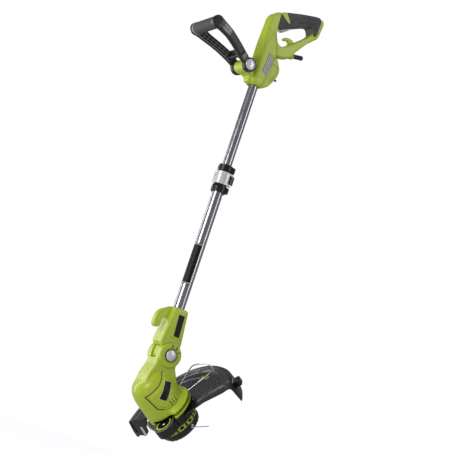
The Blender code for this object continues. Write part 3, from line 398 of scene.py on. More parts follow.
def applied(obj):
    """Makes what the modifiers show the object's own mesh."""
    mesh = as_shown(obj)
    old = obj.data
    obj.modifiers.clear()
    obj.data = mesh
    bpy.data.meshes.remove(old)
    return obj


def discard(*objects):
    for obj in objects:
        bpy.data.objects.remove(obj, do_unlink=True)


def boolean(obj, operation, *tools):
    for tool in tools:
        mod = obj.modifiers.new("boolean", "BOOLEAN")
        mod.operation = operation
        mod.solver = "EXACT"
        mod.object = tool
        applied(obj)
        discard(tool)
    return obj


def cut(obj, *tools):
    return boolean(obj, "DIFFERENCE", *tools)


def bevelled(obj, width, segments=3, angle=40.0):
    mod = obj.modifiers.new("bevel", "BEVEL")
    mod.width = width * MM
    mod.segments = segments
    mod.limit_method = "ANGLE"
    mod.angle_limit = radians(angle)
    return applied(obj)


def merged(name, *parts):
    """Puts the meshes of several objects into one, without cutting them."""
    bm = bmesh.new()
    for part in parts:
        bm.from_mesh(part.data)
    obj = mesh_object(name, bm)
    discard(*parts)
    return obj


def moulding(name, voxel, smoothing, *parts):
    """Fuses overlapping solids into one skin whose inner and outer corners are softened."""
    whole = merged(name, *parts)
    remesh = whole.modifiers.new("fuse", "REMESH")
    remesh.mode = "VOXEL"
    remesh.voxel_size = voxel * MM
    soften = whole.modifiers.new("soften", "SMOOTH")
    soften.factor = 0.5
    soften.iterations = smoothing
    return applied(whole)


def rounded(points, radius, steps=5):
    """Outline with each corner turned into a curve that starts that far from it."""
    result = []
    for i, point in enumerate(points):
        corner = Vector(point)
        before = Vector(points[i - 1]) - corner
        after = Vector(points[(i + 1) % len(points)]) - corner
        reach = min(radius, 0.45 * before.length, 0.45 * after.length)
        start = corner + before.normalized() * reach
        end = corner + after.normalized() * reach
        for k in range(steps + 1):
            t = k / steps
            result.append((1 - t) ** 2 * start + 2 * t * (1 - t) * corner + t * t * end)
    return [tuple(p) for p in result]


def smooth_path(points, steps):
    """Curve through points of any size, ends included."""
    route = [Vector(p) for p in points]
    ends = [2 * route[0] - route[1]] + route + [2 * route[-1] - route[-2]]
    result = []
    for i in range(1, len(ends) - 2):
        p0, p1, p2, p3 = ends[i - 1:i + 3]
        for k in range(steps):
            t = k / steps
            result.append((2 * p1 + (p2 - p0) * t + (2 * p0 - 5 * p1 + 4 * p2 - p3) * t ** 2
                           + (3 * p1 - p0 - 3 * p2 + p3) * t ** 3) / 2.0)
    result.append(route[-1])
    return result


def prism(name, outline, low, high, plane="XZ", base=PART, bevel=0.0, segments=4):
    """Plate from an outline: XZ outlines run along Y, XY ones along Z."""
    bm = bmesh.new()
    rings = []
    for depth in (low, high):
        places = [(a, depth, b) if plane == "XZ" else (a, b, depth) for a, b in outline]
        rings.append([bm.verts.new(Vector(p) * MM) for p in places])
    bm.faces.new(rings[0])
    bm.faces.new(list(reversed(rings[1])))
    for i in range(len(outline)):
        j = (i + 1) % len(outline)
        bm.faces.new((rings[0][j], rings[0][i], rings[1][i], rings[1][j]))
    obj = new_object(name, bm, base)
    return bevelled(obj, bevel, segments) if bevel else obj


def box_outline(low, high):
    return [(low[0], low[1]), (high[0], low[1]), (high[0], high[1]), (low[0], high[1])]


def block(name, low, high, base=PART, bevel=0.0):
    return prism(name, box_outline(low, high), low[2], high[2], "XY", base, bevel, 3)


def bridge(bm, ring, other, spans=None):
    """Faces between two rings of points, either of which may be a single point."""
    columns = max(len(ring), len(other))
    for i in range(spans or columns):
        j = (i + 1) % columns
        corners = [ring[i % len(ring)], ring[j % len(ring)], other[j % len(other)], other[i % len(other)]]
        bm.faces.new(list(dict.fromkeys(corners)))


def lathe(name, profile, base=PART, axis="Z", segments=96, start=0.0, sweep=360.0, bevel=0.0, shape=None):
    """Turns a closed (radius, height) profile about an axis of the base frame.

    A shape function can change a radius from column to column.
    """
    turn = turned({"Z": 0.0, "Y": -90.0, "-Y": 90.0}[axis], "X")
    whole = sweep == 360.0
    bm = bmesh.new()
    rings = []
    for radius, height in profile:
        ring = []
        for i in range(segments + (0 if whole else 1)) if radius else (0,):
            r = shape(radius, i) if shape and radius else radius
            a = radians(start + sweep * i / segments)
            ring.append(bm.verts.new((r * cos(a) * MM, r * sin(a) * MM, height * MM)))
        rings.append(ring)
    for ring, other in zip(rings, rings[1:] + rings[:1]):
        if len(ring) + len(other) > 2:
            bridge(bm, ring, other, segments)
    if not whole:
        bm.faces.new([ring[0] for ring in rings])
        bm.faces.new([ring[-1] for ring in reversed(rings)])
    obj = new_object(name, bm, base @ turn)
    return bevelled(obj, bevel, 3) if bevel else obj


def ring_profile(inner, outer, low, high):
    return [(inner, low), (outer, low), (outer, high), (inner, high)]


def drill(name, radius, low, high, base=PART, axis="Z", segments=96):
    """Plain cylinder, for boring holes and for cores."""
    return lathe(name, [(0, low), (radius, low), (radius, high), (0, high)], base, axis, segments)


def loft(name, rings, base=PART):
    """Skin over rings of the same number of points, closed at both ends."""
    bm = bmesh.new()
    made = [[bm.verts.new(Vector(p) * MM) for p in ring] for ring in rings]
    for ring, other in zip(made, made[1:]):
        bridge(bm, ring, other)
    bm.faces.new(made[0])
    bm.faces.new(list(reversed(made[-1])))
    return new_object(name, bm, base)


def wire_curve(name, points, radius, resolution):
    """Round rod along points in metres in the part's frame, as a curve."""
    curve = bpy.data.curves.new(name, "CURVE")
    curve.dimensions = "3D"
    curve.bevel_depth = radius
    curve.bevel_resolution = resolution
    curve.use_fill_caps = True
    spline = curve.splines.new("POLY")
    spline.points.add(len(points) - 1)
    for point, place in zip(spline.points, points):
        point.co = (*place, 1.0)
    return linked(name, curve)


def tube(name, points, radius, sides=16):
    """The same rod as a mesh."""
    source = wire_curve(name, points, radius, sides // 4)
    mesh = as_shown(source)
    discard(source)
    return linked(name, mesh)


def coil(name, base, axis, radius, low, high, turns, wire):
    """Helical spring with flat end turns."""
    place = base @ turned(-90.0 if axis == "Y" else 0.0, "X")
    flat = 0.7                   # turns at each end that stay flat
    steps = int(turns * 20)
    points = []
    for i in range(steps + 1):
        t = i / steps
        rise = min(1.0, max(0.0, (t * turns - flat) / (turns - 2.0 * flat)))
        height = low + wire + (high - low - 2.0 * wire) * rise
        points.append(place @ (polar(radius, 2.0 * pi * turns * t, height) * MM))
    return tube(name, points, wire * MM, 8)


def show(obj, body, slot, *nodes, finish=None, sharp=35.0):
    """Finishes a piece: shading, material, the body that it rides on and the nodes it stands for."""
    obj.data.materials.clear()
    obj.data.materials.append(finish or FINISHES[slot])
    for polygon in obj.data.polygons:
        polygon.material_index = 0
    obj.data.shade_smooth()
    if sharp is not None:
        obj.data.set_sharp_from_angle(angle=radians(sharp))
    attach(obj, body)
    if nodes:
        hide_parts(*nodes)
    return obj


def smoothstep(value):
    t = np.clip(value, 0.0, 1.0)
    return t * t * (3.0 - 2.0 * t)


class Surface:
    """A moulding's points and normals in millimetres in a base frame, for shaping."""

    def __init__(self, obj, base=PART):
        self.obj = obj
        self.base = base
        mesh = obj.data
        back = np.array(base.inverted())
        self.places = (vertex_values(mesh, "co") @ back[:3, :3].T + back[:3, 3]) / MM
        self.normals = vertex_values(mesh, "normal") @ back[:3, :3].T
        self.groove = np.zeros(len(self.places))
        if "groove" in mesh.attributes:
            mesh.attributes["groove"].data.foreach_get("value", self.groove)

    def facing(self, side, reach=0.35):
        """How much each point looks to one side, from 0 to 1."""
        return smoothstep((side * self.normals[:, 1] + 0.05) / reach) * (side * self.places[:, 1] > 2.0)

    def from_line(self, path):
        """Distance of each point's XZ place from an open path."""
        flat = self.places[:, (0, 2)]
        best = np.full(len(flat), 1e9)
        for start, end in zip(path, path[1:]):
            a, d = np.array(start, float), np.array(end, float) - np.array(start, float)
            t = np.clip(((flat - a) @ d) / (d @ d), 0.0, 1.0)
            best = np.minimum(best, np.linalg.norm(flat - a - t[:, None] * d, axis=1))
        return best

    def inside(self, outline):
        """Depth of each point's XZ place inside an outline, negative outside it."""
        flat = self.places[:, (0, 2)]
        odd = np.zeros(len(flat), bool)
        for (x0, z0), (x1, z1) in zip(outline, outline[1:] + outline[:1]):
            across = (z0 > flat[:, 1]) != (z1 > flat[:, 1])
            with np.errstate(divide="ignore", invalid="ignore"):
                limit = (x1 - x0) * (flat[:, 1] - z0) / (z1 - z0) + x0
            odd ^= across & (flat[:, 0] < limit)
        distance = self.from_line(outline + outline[:1])
        return np.where(odd, distance, -distance)

    def push(self, amount):
        self.places += self.normals * amount[:, None]

    def engrave(self, path, width, depth, side=-1, dark=1.0):
        """Presses a channel along a path and paints shade into it as a dark mark."""
        share = smoothstep(1.6 * (1.0 - self.from_line(path) / (width / 2.0))) * self.facing(side)
        self.push(-depth * share)
        self.groove = np.maximum(self.groove, dark * share)

    def raise_panel(self, outline, height, edge=1.6, side=-1):
        """Lifts the part of the surface inside an outline, or sinks it if height is negative."""
        self.push(height * smoothstep(self.inside(outline) / edge) * self.facing(side))

    def write(self):
        """Puts the shaped points back, with the painted shade mark and the edge wear marks for the material."""
        mesh = self.obj.data
        forward = np.array(self.base)
        places = (self.places * MM) @ forward[:3, :3].T + forward[:3, 3]
        mesh.vertices.foreach_set("co", places.ravel())
        mesh.update()
        mark(mesh, "groove", self.groove)
        mark_wear(mesh)


def vertex_values(mesh, what):
    """Every vertex's place or normal, one row each."""
    values = np.empty(len(mesh.vertices) * 3)
    mesh.vertices.foreach_get(what, values)
    return values.reshape(-1, 3)


def mark(mesh, name, values):
    """Stores a measure at each point, for the materials to read."""
    attribute = mesh.attributes.get(name) or mesh.attributes.new(name, "FLOAT", "POINT")
    attribute.data.foreach_set("value", values.astype(np.float32))


def mark_wear(mesh):
    """Marks the points on outward corners, where an edge gets rubbed."""
    places, normals = vertex_values(mesh, "co"), vertex_values(mesh, "normal")
    edges = np.empty(len(mesh.edges) * 2, np.int32)
    mesh.edges.foreach_get("vertices", edges)
    first, second = edges[0::2], edges[1::2]
    run = places[second] - places[first]
    length = np.linalg.norm(run, axis=1) + 1e-9
    bend = np.zeros(len(places))
    number = np.zeros(len(places)) + 1e-9
    np.add.at(bend, first, -(run * normals[first]).sum(1) / length)
    np.add.at(bend, second, (run * normals[second]).sum(1) / length)
    np.add.at(number, first, 1.0)
    np.add.at(number, second, 1.0)
    mark(mesh, "wear", np.clip((bend / number - 0.06) * 7.0, 0.0, 1.0))


def halves(whole, names, body, slot):
    """Splits a moulding at Y = 0 into its left and right shells and shows both."""
    shells = []
    for side, name in zip((-1.0, 1.0), names):
        bm = bmesh.new()
        bm.from_mesh(whole.data)
        everything = bm.verts[:] + bm.edges[:] + bm.faces[:]
        made = bmesh.ops.bisect_plane(bm, geom=everything, dist=1e-7,
                                      plane_co=(0.0, side * JOINT_LINE / 2 * MM, 0.0),
                                      plane_no=(0.0, -side, 0.0), clear_outer=True)
        edges = [e for e in made["geom_cut"] if isinstance(e, bmesh.types.BMEdge)]
        bmesh.ops.triangle_fill(bm, use_beauty=True, edges=edges)
        bmesh.ops.recalc_face_normals(bm, faces=bm.faces)
        shells.append(show(mesh_object("visual_" + name, bm), body, slot, name, sharp=50.0))
    discard(whole)
    return shells


def hosts_tree(hosts):
    bm = bmesh.new()
    for host in hosts:
        bm.from_mesh(host.data)
    tree = BVHTree.FromBMesh(bm)
    bm.free()
    return tree


def refined(outline, step):
    """Closed outline with points no further apart than the step."""
    result = []
    for start, end in zip(outline, outline[1:] + outline[:1]):
        start, end = Vector(start), Vector(end)
        pieces = max(1, math.ceil((end - start).length / step))
        result += [start.lerp(end, k / pieces) for k in range(pieces)]
    return result


def patch(name, outline, hosts, base, body, slot, finish, lift=0.30, side=-1, thickness=0.5, rings=9):
    """Thin film laid on the side of a moulding: an XZ outline dropped onto its surface."""
    tree = hosts_tree(hosts)
    outline = refined(outline, 2.0)
    middle = sum((Vector(p) for p in outline), Vector((0.0, 0.0))) / len(outline)
    direction = Vector((0.0, -float(side), 0.0))
    bm = bmesh.new()
    made = []
    for k in range(rings, -1, -1):
        flat = [middle + (Vector(p) - middle) * (k / rings) for p in outline] if k else [middle]
        ring = []
        for x, z in flat:
            start = base @ (Vector((x, side * 200.0, z)) * MM)
            place, normal, _, _ = tree.ray_cast(start, direction)
            if place is None:
                place, normal = base @ (Vector((x, side * 20.0, z)) * MM), -direction
            ring.append(bm.verts.new(place + normal * lift * MM))
        made.append(ring)
    for ring, other in zip(made, made[1:]):
        bridge(bm, ring, other)
    obj = new_object(name, bm)
    if obj.data.polygons[0].normal.y * side < 0.0:
        obj.data.flip_normals()
    solid = obj.modifiers.new("film", "SOLIDIFY")
    solid.thickness = thickness * MM
    solid.offset = -1.0
    return show(applied(obj), body, slot, finish=finish)


def screw_head(place, axis, base=PART, radius=3.3):
    """Pan head with a cross recess, its underside at a place in the base frame."""
    at = base @ Matrix.Translation(Vector(place) * MM) @ pointing(axis)
    profile = [(0.0, -1.0), (radius, -1.0), (radius, 0.9), (radius * 0.80, 1.7), (radius * 0.4, 2.1),
               (0.0, 2.2)]
    head = lathe("screw_head", profile, at, segments=28)
    arms = [block("recess", (-2.0, -0.45, 0.9), (2.0, 0.45, 3.0), at),
            block("recess", (-0.45, -2.0, 0.9), (0.45, 2.0, 3.0), at)]
    return cut(head, *arms)


def screws(name, body, places, axis, base=PART, radius=3.3):
    heads = [screw_head(place, axis, base, radius) for place in places]
    show(merged(name, *heads), body, "steel")


def wells(places, depth, base=PART):
    """Tools for the counterbores that screws sit in, open to the +Y side."""
    return [drill("well", 4.4, y - depth, y + 30.0, base @ moved(x, 0.0, z), "Y", 24) for x, y, z in places]


# ---- cutting line: the only free cord ---------------------------------------------------
EYELET_ANGLE = radians(-86.0)
SWING_ANGLE = radians(-76.0)
EYELET_R, EYELET_Z = 51.6, -160.0
LINE_R = 0.9


def side_screws(name, body, spots, depth, base=PART):
    """Screws sunk in wells of this depth in the +Y side."""
    screws(name, body, [(x, y - depth, z) for x, y, z in spots], Y_AXIS, base)


def line_cord():
    """Stiff nylon line that sticks out of the spool's eyelet."""
    outward, swing = polar(1.0, EYELET_ANGLE), polar(1.0, SWING_ANGLE)
    start = outward * (EYELET_R - 3.0) + Vector((0.0, 0.0, EYELET_Z))
    bend = start + outward * 22.0
    points = [start, start + outward * 10.0, bend + swing * 2.0, bend + swing * 22.0, bend + swing * 42.0]
    route = [SPOOL @ (p * MM) for p in smooth_path(points, 6)]
    line = wire_curve("cutting_line", route, LINE_R * MM, 4)
    line.data.materials.append(FINISHES["nylon_line"])
    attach(line, "spinner")
    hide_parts("line_end")


# ---- rear handle ----------------------------------------------------------------
BODY_STATIONS = [                # height, front x, back x, half width
    (-5, -14, 11, 17), (2, -22, 14, 21), (20, -21, 17, 22), (64, -21, 21, 22), (98, -22, 27, 22),
    (122, -23, 20, 20), (150, -24, 8, 16), (176, -23, 4, 14)]
BELLY = [(0, 4), (14, -4), (33, 6), (47, 31), (54, 52), (53, 68), (46, 78), (36, 92), (6, 96)]
LUG = [(-30, 2), (-26, -4), (-12, -5), (-12, 20), (-26, 19), (-30, 13)]
LOOP = [(-23, 150), (-22, 186), (-16, 200), (-6, 208), (4, 212), (22, 220), (63, 238), (108, 255),
        (128, 260), (138, 258), (142, 249), (137, 205), (107, 172), (80, 131), (75, 113), (41, 98),
        (16, 96), (-8, 130)]
FINGERS = [(16, 170), (31, 180), (50, 193), (73, 208), (95, 222), (106, 225), (114, 221), (117, 212),
           (108, 195), (72, 158), (41, 129), (34, 127), (21, 129), (9, 152), (8, 161)]
LEAD_HOOK = [(61, 140), (58, 152), (52, 156), (46, 152), (40, 151), (38, 155), (44, 161), (54, 165),
             (66, 165), (75, 160), (80, 160)]
BADGE = [(3.6, 87.3), (21.9, 77.9), (15.6, 28.9), (1.0, 37.5)]
GRIP_ANGLE = radians(33.0)
INLET_ROOT = Vector((79.5, 0.0, 125.5))
INLET_AXIS = Vector((0.956, 0.0, 0.292))


def grip_place(along, up):
    c, s = cos(GRIP_ANGLE), sin(GRIP_ANGLE)
    return (35.5 + along * c - up * s, 183.0 + along * s + up * c)


def grip_box(low, high):
    return [grip_place(low[0], low[1]), grip_place(high[0], low[1]),
            grip_place(high[0], high[1]), grip_place(low[0], high[1])]


def grown(outline, amount):
    """Outline moved outward all round."""
    area = sum(a[0] * b[1] - b[0] * a[1] for a, b in zip(outline, outline[1:] + outline[:1]))
    turn = 1.0 if area > 0.0 else -1.0
    result = []
    for i, point in enumerate(outline):
        before, after = Vector(outline[i - 1]), Vector(outline[(i + 1) % len(outline)])
        here = Vector(point)
        first, second = (here - before).normalized(), (after - here).normalized()
        out = (Vector((first.y, -first.x)) + Vector((second.y, -second.x))) * turn
        result.append(tuple(here + out.normalized() * amount))
    return result


def handle_column():
    """Main body of the handle, with rounder edges in front than behind."""
    rings = []
    for height, front, back, half in BODY_STATIONS:
        section = [(front, -half), (back, -half), (back, half), (front, half)]
        rings.append([(x, y, height) for x, y in rounded(section, 8.5, 6)])
    return loft("handle_column", rings)


def handle_shells():
    loop = prism("loop", rounded(LOOP, 9.0), -15.5, 15.5, bevel=5.0)
    cut(loop, prism("finger_hole", rounded(FINGERS, 9.0), -30.0, 30.0))
    loop = bevelled(loop, 3.0, 3, 60.0)
    barrel = [(0, -19.5), (16.2, -19.5), (17, -18.7), (17, 18.7), (16.2, 19.5), (0, 19.5)]
    parts = [handle_column(), loop, lathe("front_barrel", barrel, FRONT, "Y"),
             prism("belly", rounded(BELLY, 10.0), -15.0, 15.0, bevel=5.0),
             prism("lug", rounded(LUG, 5.0), -13.0, 13.0, bevel=4.0),
             prism("lead_hook", rounded(LEAD_HOOK, 4.0), -4.8, 4.8, bevel=1.6),
             prism("neck", rounded([(-50, 14), (-20, 6), (-20, 50), (-50, 43)], 3.0), -16.0, 16.0, bevel=2.0)]
    whole = moulding("rear_handle", 1.25, 5, *parts)
    shape = Surface(whole)
    recess = rounded([(27, 74), (43, 71), (48, 60), (43, 42), (34, 22), (26, 30)], 4.0)
    frame_line = rounded(grown(BADGE, 2.4), 2.0)
    # Painted shade: the channel round the badge and the lines down the sides are painted dark.
    shape.engrave(frame_line + frame_line[:1], 2.2, 0.9, dark=0.85)
    for side in (-1, 1):
        shape.raise_panel(recess, -1.6, side=side)
        shape.engrave([(-20, 96), (-6, 132), (0, 168)], 1.6, 0.5, side, 0.25)
    shape.write()
    bore = lathe("pole_bore", [(0, -20), (14.6, -20), (14.6, 0.0), (12.3, 1.5), (12.3, 34), (0, 34)])
    rod = drill("rod_bore", 5.3, -30, 30, FRONT, "Y", 40)
    slot = prism("trigger_slot", grip_box((-22.5, -12), (21, 12)), -6.8, 6.8)
    spots = [(-2, 22, 20), (10, 22, 84), (40, 15, 62), (-8, 19, 142), (124, 15.5, 236), (92, 15.5, 168)]
    cut(whole, bore, rod, slot, *wells(spots, WELL_DEPTH))
    names = ("rear_handle_left_shell", "rear_handle_right_shell")
    shells = halves(whole, names, "rear_handle", "lime_plastic")
    side_screws("handle_screws", "rear_handle", spots, WELL_DEPTH)
    return shells


PAD = [(2, 205), (5, 213.2), (22, 221), (63, 239), (108, 256), (122, 259.3), (129, 250), (128, 207),
       (117.5, 200), (115.5, 211), (106, 222.5), (96, 219.8), (73.5, 206), (50.5, 191), (31.5, 178.2),
       (17, 169), (5, 162)]
PAD_WEDGE = [(-1, 207.5), (5, 213.4), (17, 218.4), (37, 197), (32, 193)]


def grip_overmould():
    """Grey rubber round the whole grip, with a lime wedge showing and two raised strips a side."""
    wrap = prism("wrap", rounded(PAD, 5.0), -18.0, 18.0, bevel=5.0, segments=5)
    whole = moulding("overmould", 1.0, 3, wrap)
    shape = Surface(whole)
    upper = rounded([(55, 222), (72, 232), (122, 252), (124, 243), (80, 226), (62, 216)], 3.0)
    lower = rounded([(60, 209), (70, 218), (84, 224), (118, 236), (120, 216), (110, 227), (94, 225)], 3.0)
    for side in (-1, 1):
        # Painted shade: the channels round the raised strips and the short diagonal line are painted dark.
        for strip in (upper, lower):
            shape.raise_panel(strip, 0.9, 1.2, side)
            shape.engrave(strip + strip[:1], 1.3, 0.5, side, 0.8)
        shape.engrave([(36, 198), (52, 222)], 1.6, 0.6, side, 0.5)
    shape.write()
    cut(whole, prism("trigger_slot", grip_box((-22.5, -14), (21, 12)), -7.1, 7.1),
        *[prism("wedge", rounded(PAD_WEDGE, 1.0), low, high) for low, high in ((-40.0, -15.9), (15.9, 40.0))])
    halves(whole, ("left_grip_pad", "right_grip_pad"), "rear_handle", "grey_rubber")
    wedges = [prism("lime_wedge", rounded(grown(PAD_WEDGE, -0.4), 1.0), low, high, bevel=0.5)
              for low, high in ((-17.4, -15.0), (15.0, 17.4))]
    show(merged("grip_wedges", *wedges), "rear_handle", "lime_plastic")


def badge(shells):
    """Rating plate with a white border and ruled lines but no writing."""
    patch("badge_border", rounded(grown(BADGE, 0.9), 1.6), shells, PART, "rear_handle", "silver_plastic",
          WHITE_PRINT, 0.35)
    patch("badge_plate", rounded(grown(BADGE, -1.0), 1.2), shells, PART, "rear_handle", "light_grey_plastic",
          GREY_PRINT, 0.55)
    top, low = (Vector(BADGE[0]) + Vector(BADGE[1])) / 2, (Vector(BADGE[2]) + Vector(BADGE[3])) / 2
    for index, (t, half) in enumerate(((0.16, 5.4), (0.30, 5.6), (0.44, 5.0), (0.58, 5.4), (0.84, 4.6))):
        at = top.lerp(low, t)
        across = Vector((0.89, -0.455))
        line = [at - across * half, at + across * half, at + across * half + Vector((-0.2, -0.9)),
                at - across * half + Vector((-0.2, -0.9))]
        patch("badge_rule_%d" % index, [tuple(p) for p in line], shells, PART, "rear_handle",
              "silver_plastic", WHITE_PRINT, 0.75, rings=2)


def inlet():
    """Ribbed rubber plug body on the lead inlet, with two brass pins inside."""
    at = Matrix.Translation(INLET_ROOT * MM) @ pointing(INLET_AXIS)
    profile = [(0, -12), (5.0, -12), (5.0, 5.5), (5.9, 6.2)]
    for index in range(7):
        z = 8.0 + index * 3.4
        profile += [(6.1, z), (6.1, z + 1.6), (5.3, z + 2.0), (5.3, z + 3.0)]
    profile += [(6.3, 33.0), (6.3, 36.0), (5.9, 37.0), (4.9, 37.0), (4.6, 36.4), (4.6, 23.0), (0, 23.0)]
    show(lathe("inlet_plug_body", profile, at, segments=48), "rear_handle", "black_rubber", "inlet_plug")
    boss = [(6.4, -3.0), (9.6, -3.0), (9.2, 3.2), (8.6, 4.2), (7.0, 4.4), (6.4, 3.6)]
    show(lathe("inlet_collar", boss, at, segments=48), "rear_handle", "lime_plastic")
    tab = block("belly_tab", (53.0, -2.2, 38.0), (60.6, 2.2, 43.0), bevel=1.0)
    show(tab, "rear_handle", "black_plastic")


def trigger():
    nose = [(-20.5, 1.0), (-18.5, -7.5), (-10.0, -9.0), (6.0, -6.2), (19.0, -0.8), (19.0, 6.0), (-19.5, 6.0)]
    lever = prism("trigger_lever", rounded([grip_place(a, b) for a, b in nose], 2.6), -6.0, 6.0, bevel=1.3)
    x, z = grip_place(-12.0, 6.4)
    at = moved(x, 0.0, z) @ Matrix.Rotation(-GRIP_ANGLE, 4, "Y")
    pocket = drill("pocket", 4.4, -6.2, 4.0, at, segments=32)
    starts = [-14.0 + index * 3.4 for index in range(5)]
    ribs = [prism("rib", grip_box((a, -11.0), (a + 1.1, -7.6 + 0.25 * index)), -4.6, 4.6)
            for index, a in enumerate(starts)]
    cut(lever, pocket, *ribs)
    show(lever, "trigger", "light_grey_plastic", "trigger")
    show(coil("trigger_coil", at, "Z", 2.6, 0.0, 6.2, 4.5, 0.45), "rear_handle", "steel", "trigger_spring")


# ---- front handle ---------------------------------------------------------------
FRONT_GRIP = Vector((-185.0, 0.0, 73.0))
ARM_STATIONS = [(0.115, 26.5, 12.0, 5.5), (0.24, 28.8, 12.5, 5.5), (0.45, 37.5, 12.0, 5.5),
                (0.70, 47.5, 12.5, 5.5), (0.88, 50.5, 14.0, 5.2), (1.0, 50.5, 16.5, 5.2)]


def arm_frame(t, side):
    """Middle of an arm's section at a share of its length, its height direction and half sizes."""
    shares = [s[0] for s in ARM_STATIONS]
    offset, half_height, half_thick = (np.interp(t, shares, [s[k] for s in ARM_STATIONS]) for k in (1, 2, 3))
    pivot = FRONT_PIVOT / MM
    run = FRONT_GRIP - pivot
    along = run.normalized()
    across = Vector((-along.z, 0.0, along.x))
    middle = pivot + run * t - across * 6.0 * sin(pi * t) + Vector((0.0, side * offset, 0.0))
    return middle, across, half_height, half_thick


def arm_strip(name, side, start, end, low, high, inner, outer, steps=26):
    """Bar along an arm: low and high are shares of its height, inner and outer depths in millimetres."""
    rings = []
    for i in range(steps + 1):
        middle, across, half_height, half_thick = arm_frame(start + (end - start) * i / steps, side)
        corner = rounded([(low, inner), (high, inner), (high, outer), (low, outer)], 0.12, 3)
        ring = []
        for a, b in corner:
            depth = b + half_thick if b > 0 else b
            ring.append(middle + across * (a * half_height) + Vector((0.0, side * depth, 0.0)))
        rings.append(ring)
    return loft(name, rings)


def front_handle():
    grip = Matrix.Translation(FRONT_GRIP * MM)
    end = [(0, 45.0), (15.8, 45.0), (16.5, 45.8), (16.5, 54.6), (15.2, 56.0), (0, 56.0)]
    eye = [(5.3, 20.0), (18.4, 20.0), (19.0, 20.6), (19.0, 31.6), (18.0, 32.5), (15.4, 32.5), (14.5, 31.8),
           (14.5, 24.2), (5.3, 24.2)]
    parts = [drill("core", 10.5, -54, 54, grip, "Y", 48)]
    for side, axis in ((-1.0, "-Y"), (1.0, "Y")):
        rings = []
        for i in range(41):
            middle, across, half_height, half_thick = arm_frame(0.115 + 0.885 * i / 40, side)
            section = rounded([(-half_height, -half_thick), (half_height, -half_thick),
                               (half_height, half_thick), (-half_height, half_thick)], 3.4, 4)
            rings.append([middle + across * a + Y_AXIS * (side * b) for a, b in section])
        parts += [loft("arm", rings), lathe("eye", eye, FRONT, axis, 96), lathe("end", end, grip, axis, 64)]
    web = rounded([(-87, 36), (-78, 34), (-75, 58), (-84, 61)], 2.5)
    parts.append(prism("web", web, -30.0, 30.0, bevel=1.5))
    whole = moulding("front_handle_frame", 1.1, 2, *parts)
    tools = []
    for axis in ("-Y", "Y"):
        tools += [drill("button_room", 14.4, 24.3, 40, FRONT, axis, 64),
                  drill("barrel_room", 17.4, -1.0, 19.8, FRONT, axis, 64),
                  drill("rod_room", 5.3, 10.0, 30.0, FRONT, axis, 32)]
    cut(whole, *tools)
    Surface(whole).write()
    show(whole, "front_handle", "black_plastic", "front_handle", sharp=50.0)
    ribs = []
    for side, word in ((-1.0, "left"), (1.0, "right")):
        panels = [("arm_panel_", 0.275, 0.965, 0.62, 26), ("arm_foot_panel_", 0.165, 0.225, 0.60, 4)]
        for name, start, stop, half, steps in panels:
            show(arm_strip(name + word, side, start, stop, -half, half, 0.2, 0.9, steps),
                 "front_handle", "light_grey_plastic", finish=PANEL_GREY)
        for share in (-0.86, -0.30, 0.30, 0.86):
            ribs.append(arm_strip("rib", side, 0.20, 0.92, share - 0.05, share + 0.05, -7.0, -4.5, 20))
        for index in range(9):
            t = 0.24 + index * 0.082
            ribs.append(arm_strip("rib", side, t, t + 0.007, -0.88, 0.88, -6.8, -4.5, 1))
    show(merged("arm_ribs", *ribs), "front_handle", "light_grey_plastic", finish=RIB_GREY)
    slits = [arm_strip("slit", side, 0.76, 0.95, -0.07, 0.07, 0.9, 1.35, 8) for side in (-1.0, 1.0)]
    show(merged("arm_slits", *slits), "front_handle", "black_plastic")


def front_grip():
    grip = Matrix.Translation(FRONT_GRIP * MM)
    outer = [(10.8, -44), (14.2, -44), (15.4, -42.6)]
    for index in range(12):
        y = -33.0 + index * 6.0
        outer += [(15.5, y - 2.1), (15.25, y - 1.7), (15.25, y - 1.2), (15.5, y - 0.8)]
    outer += [(15.4, 42.6), (14.2, 44), (10.8, 44)]
    show(lathe("front_grip_cover", outer, grip, "Y"), "front_handle", "grey_rubber", "front_grip_sleeve",
         sharp=60.0)
    # Painted highlight: light collars at both ends of the grip, where bright highlights fall on the black ends.
    rings = [lathe("grip_ring", ring_profile(10.7, 15.9, low, high), grip, "Y", bevel=0.7)
             for low, high in ((-48.6, -44.3), (44.3, 48.6))]
    show(merged("front_grip_highlight_rings", *rings), "front_handle", "silver_plastic")
    for axis, word in (("-Y", "left"), ("Y", "right")):
        cap = [(0, 32.8), (10.6, 32.8), (10.6, 29.0), (13.6, 29.0), (14.0, 29.4), (14.0, 33.6), (13.4, 34.6),
               (12.2, 35.4), (11.4, 35.2), (10.6, 35.6), (7.0, 36.5), (0, 36.8)]
        show(lathe("front_button_cap_" + word, cap, FRONT, axis), "front_button_" + word,
             "silver_plastic", "front_button_" + word, sharp=30.0)
        turn = FRONT if word == "right" else FRONT @ turned(180.0)
        show(coil("front_coil_" + word, turn, "Y", 9.2, 24.5, 28.7, 2.5, 0.7), "front_handle", "steel",
             "front_button_spring_" + word)


# ---- pole -----------------------------------------------------------------------
COLLAR_TOP = -232.0
COLLAR_LOW = -305.0
CLAMP_PIN = moved(15.0, -19.0, 0.0)


def tube_piece(name, node, body, wall=1.2, edge=0.4):
    """One of the pole's tubes, as long and as wide as its CAD node, with broken edges."""
    low, high = (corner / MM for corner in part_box(node))
    outer, inner = high.x, high.x - wall
    profile = [(inner, low.z + edge), (inner + edge, low.z), (outer - edge, low.z), (outer, low.z + edge),
               (outer, high.z - edge), (outer - edge, high.z), (inner + edge, high.z), (inner, high.z - edge)]
    show(lathe(name, profile, segments=128), body, "aluminium_tube", node)


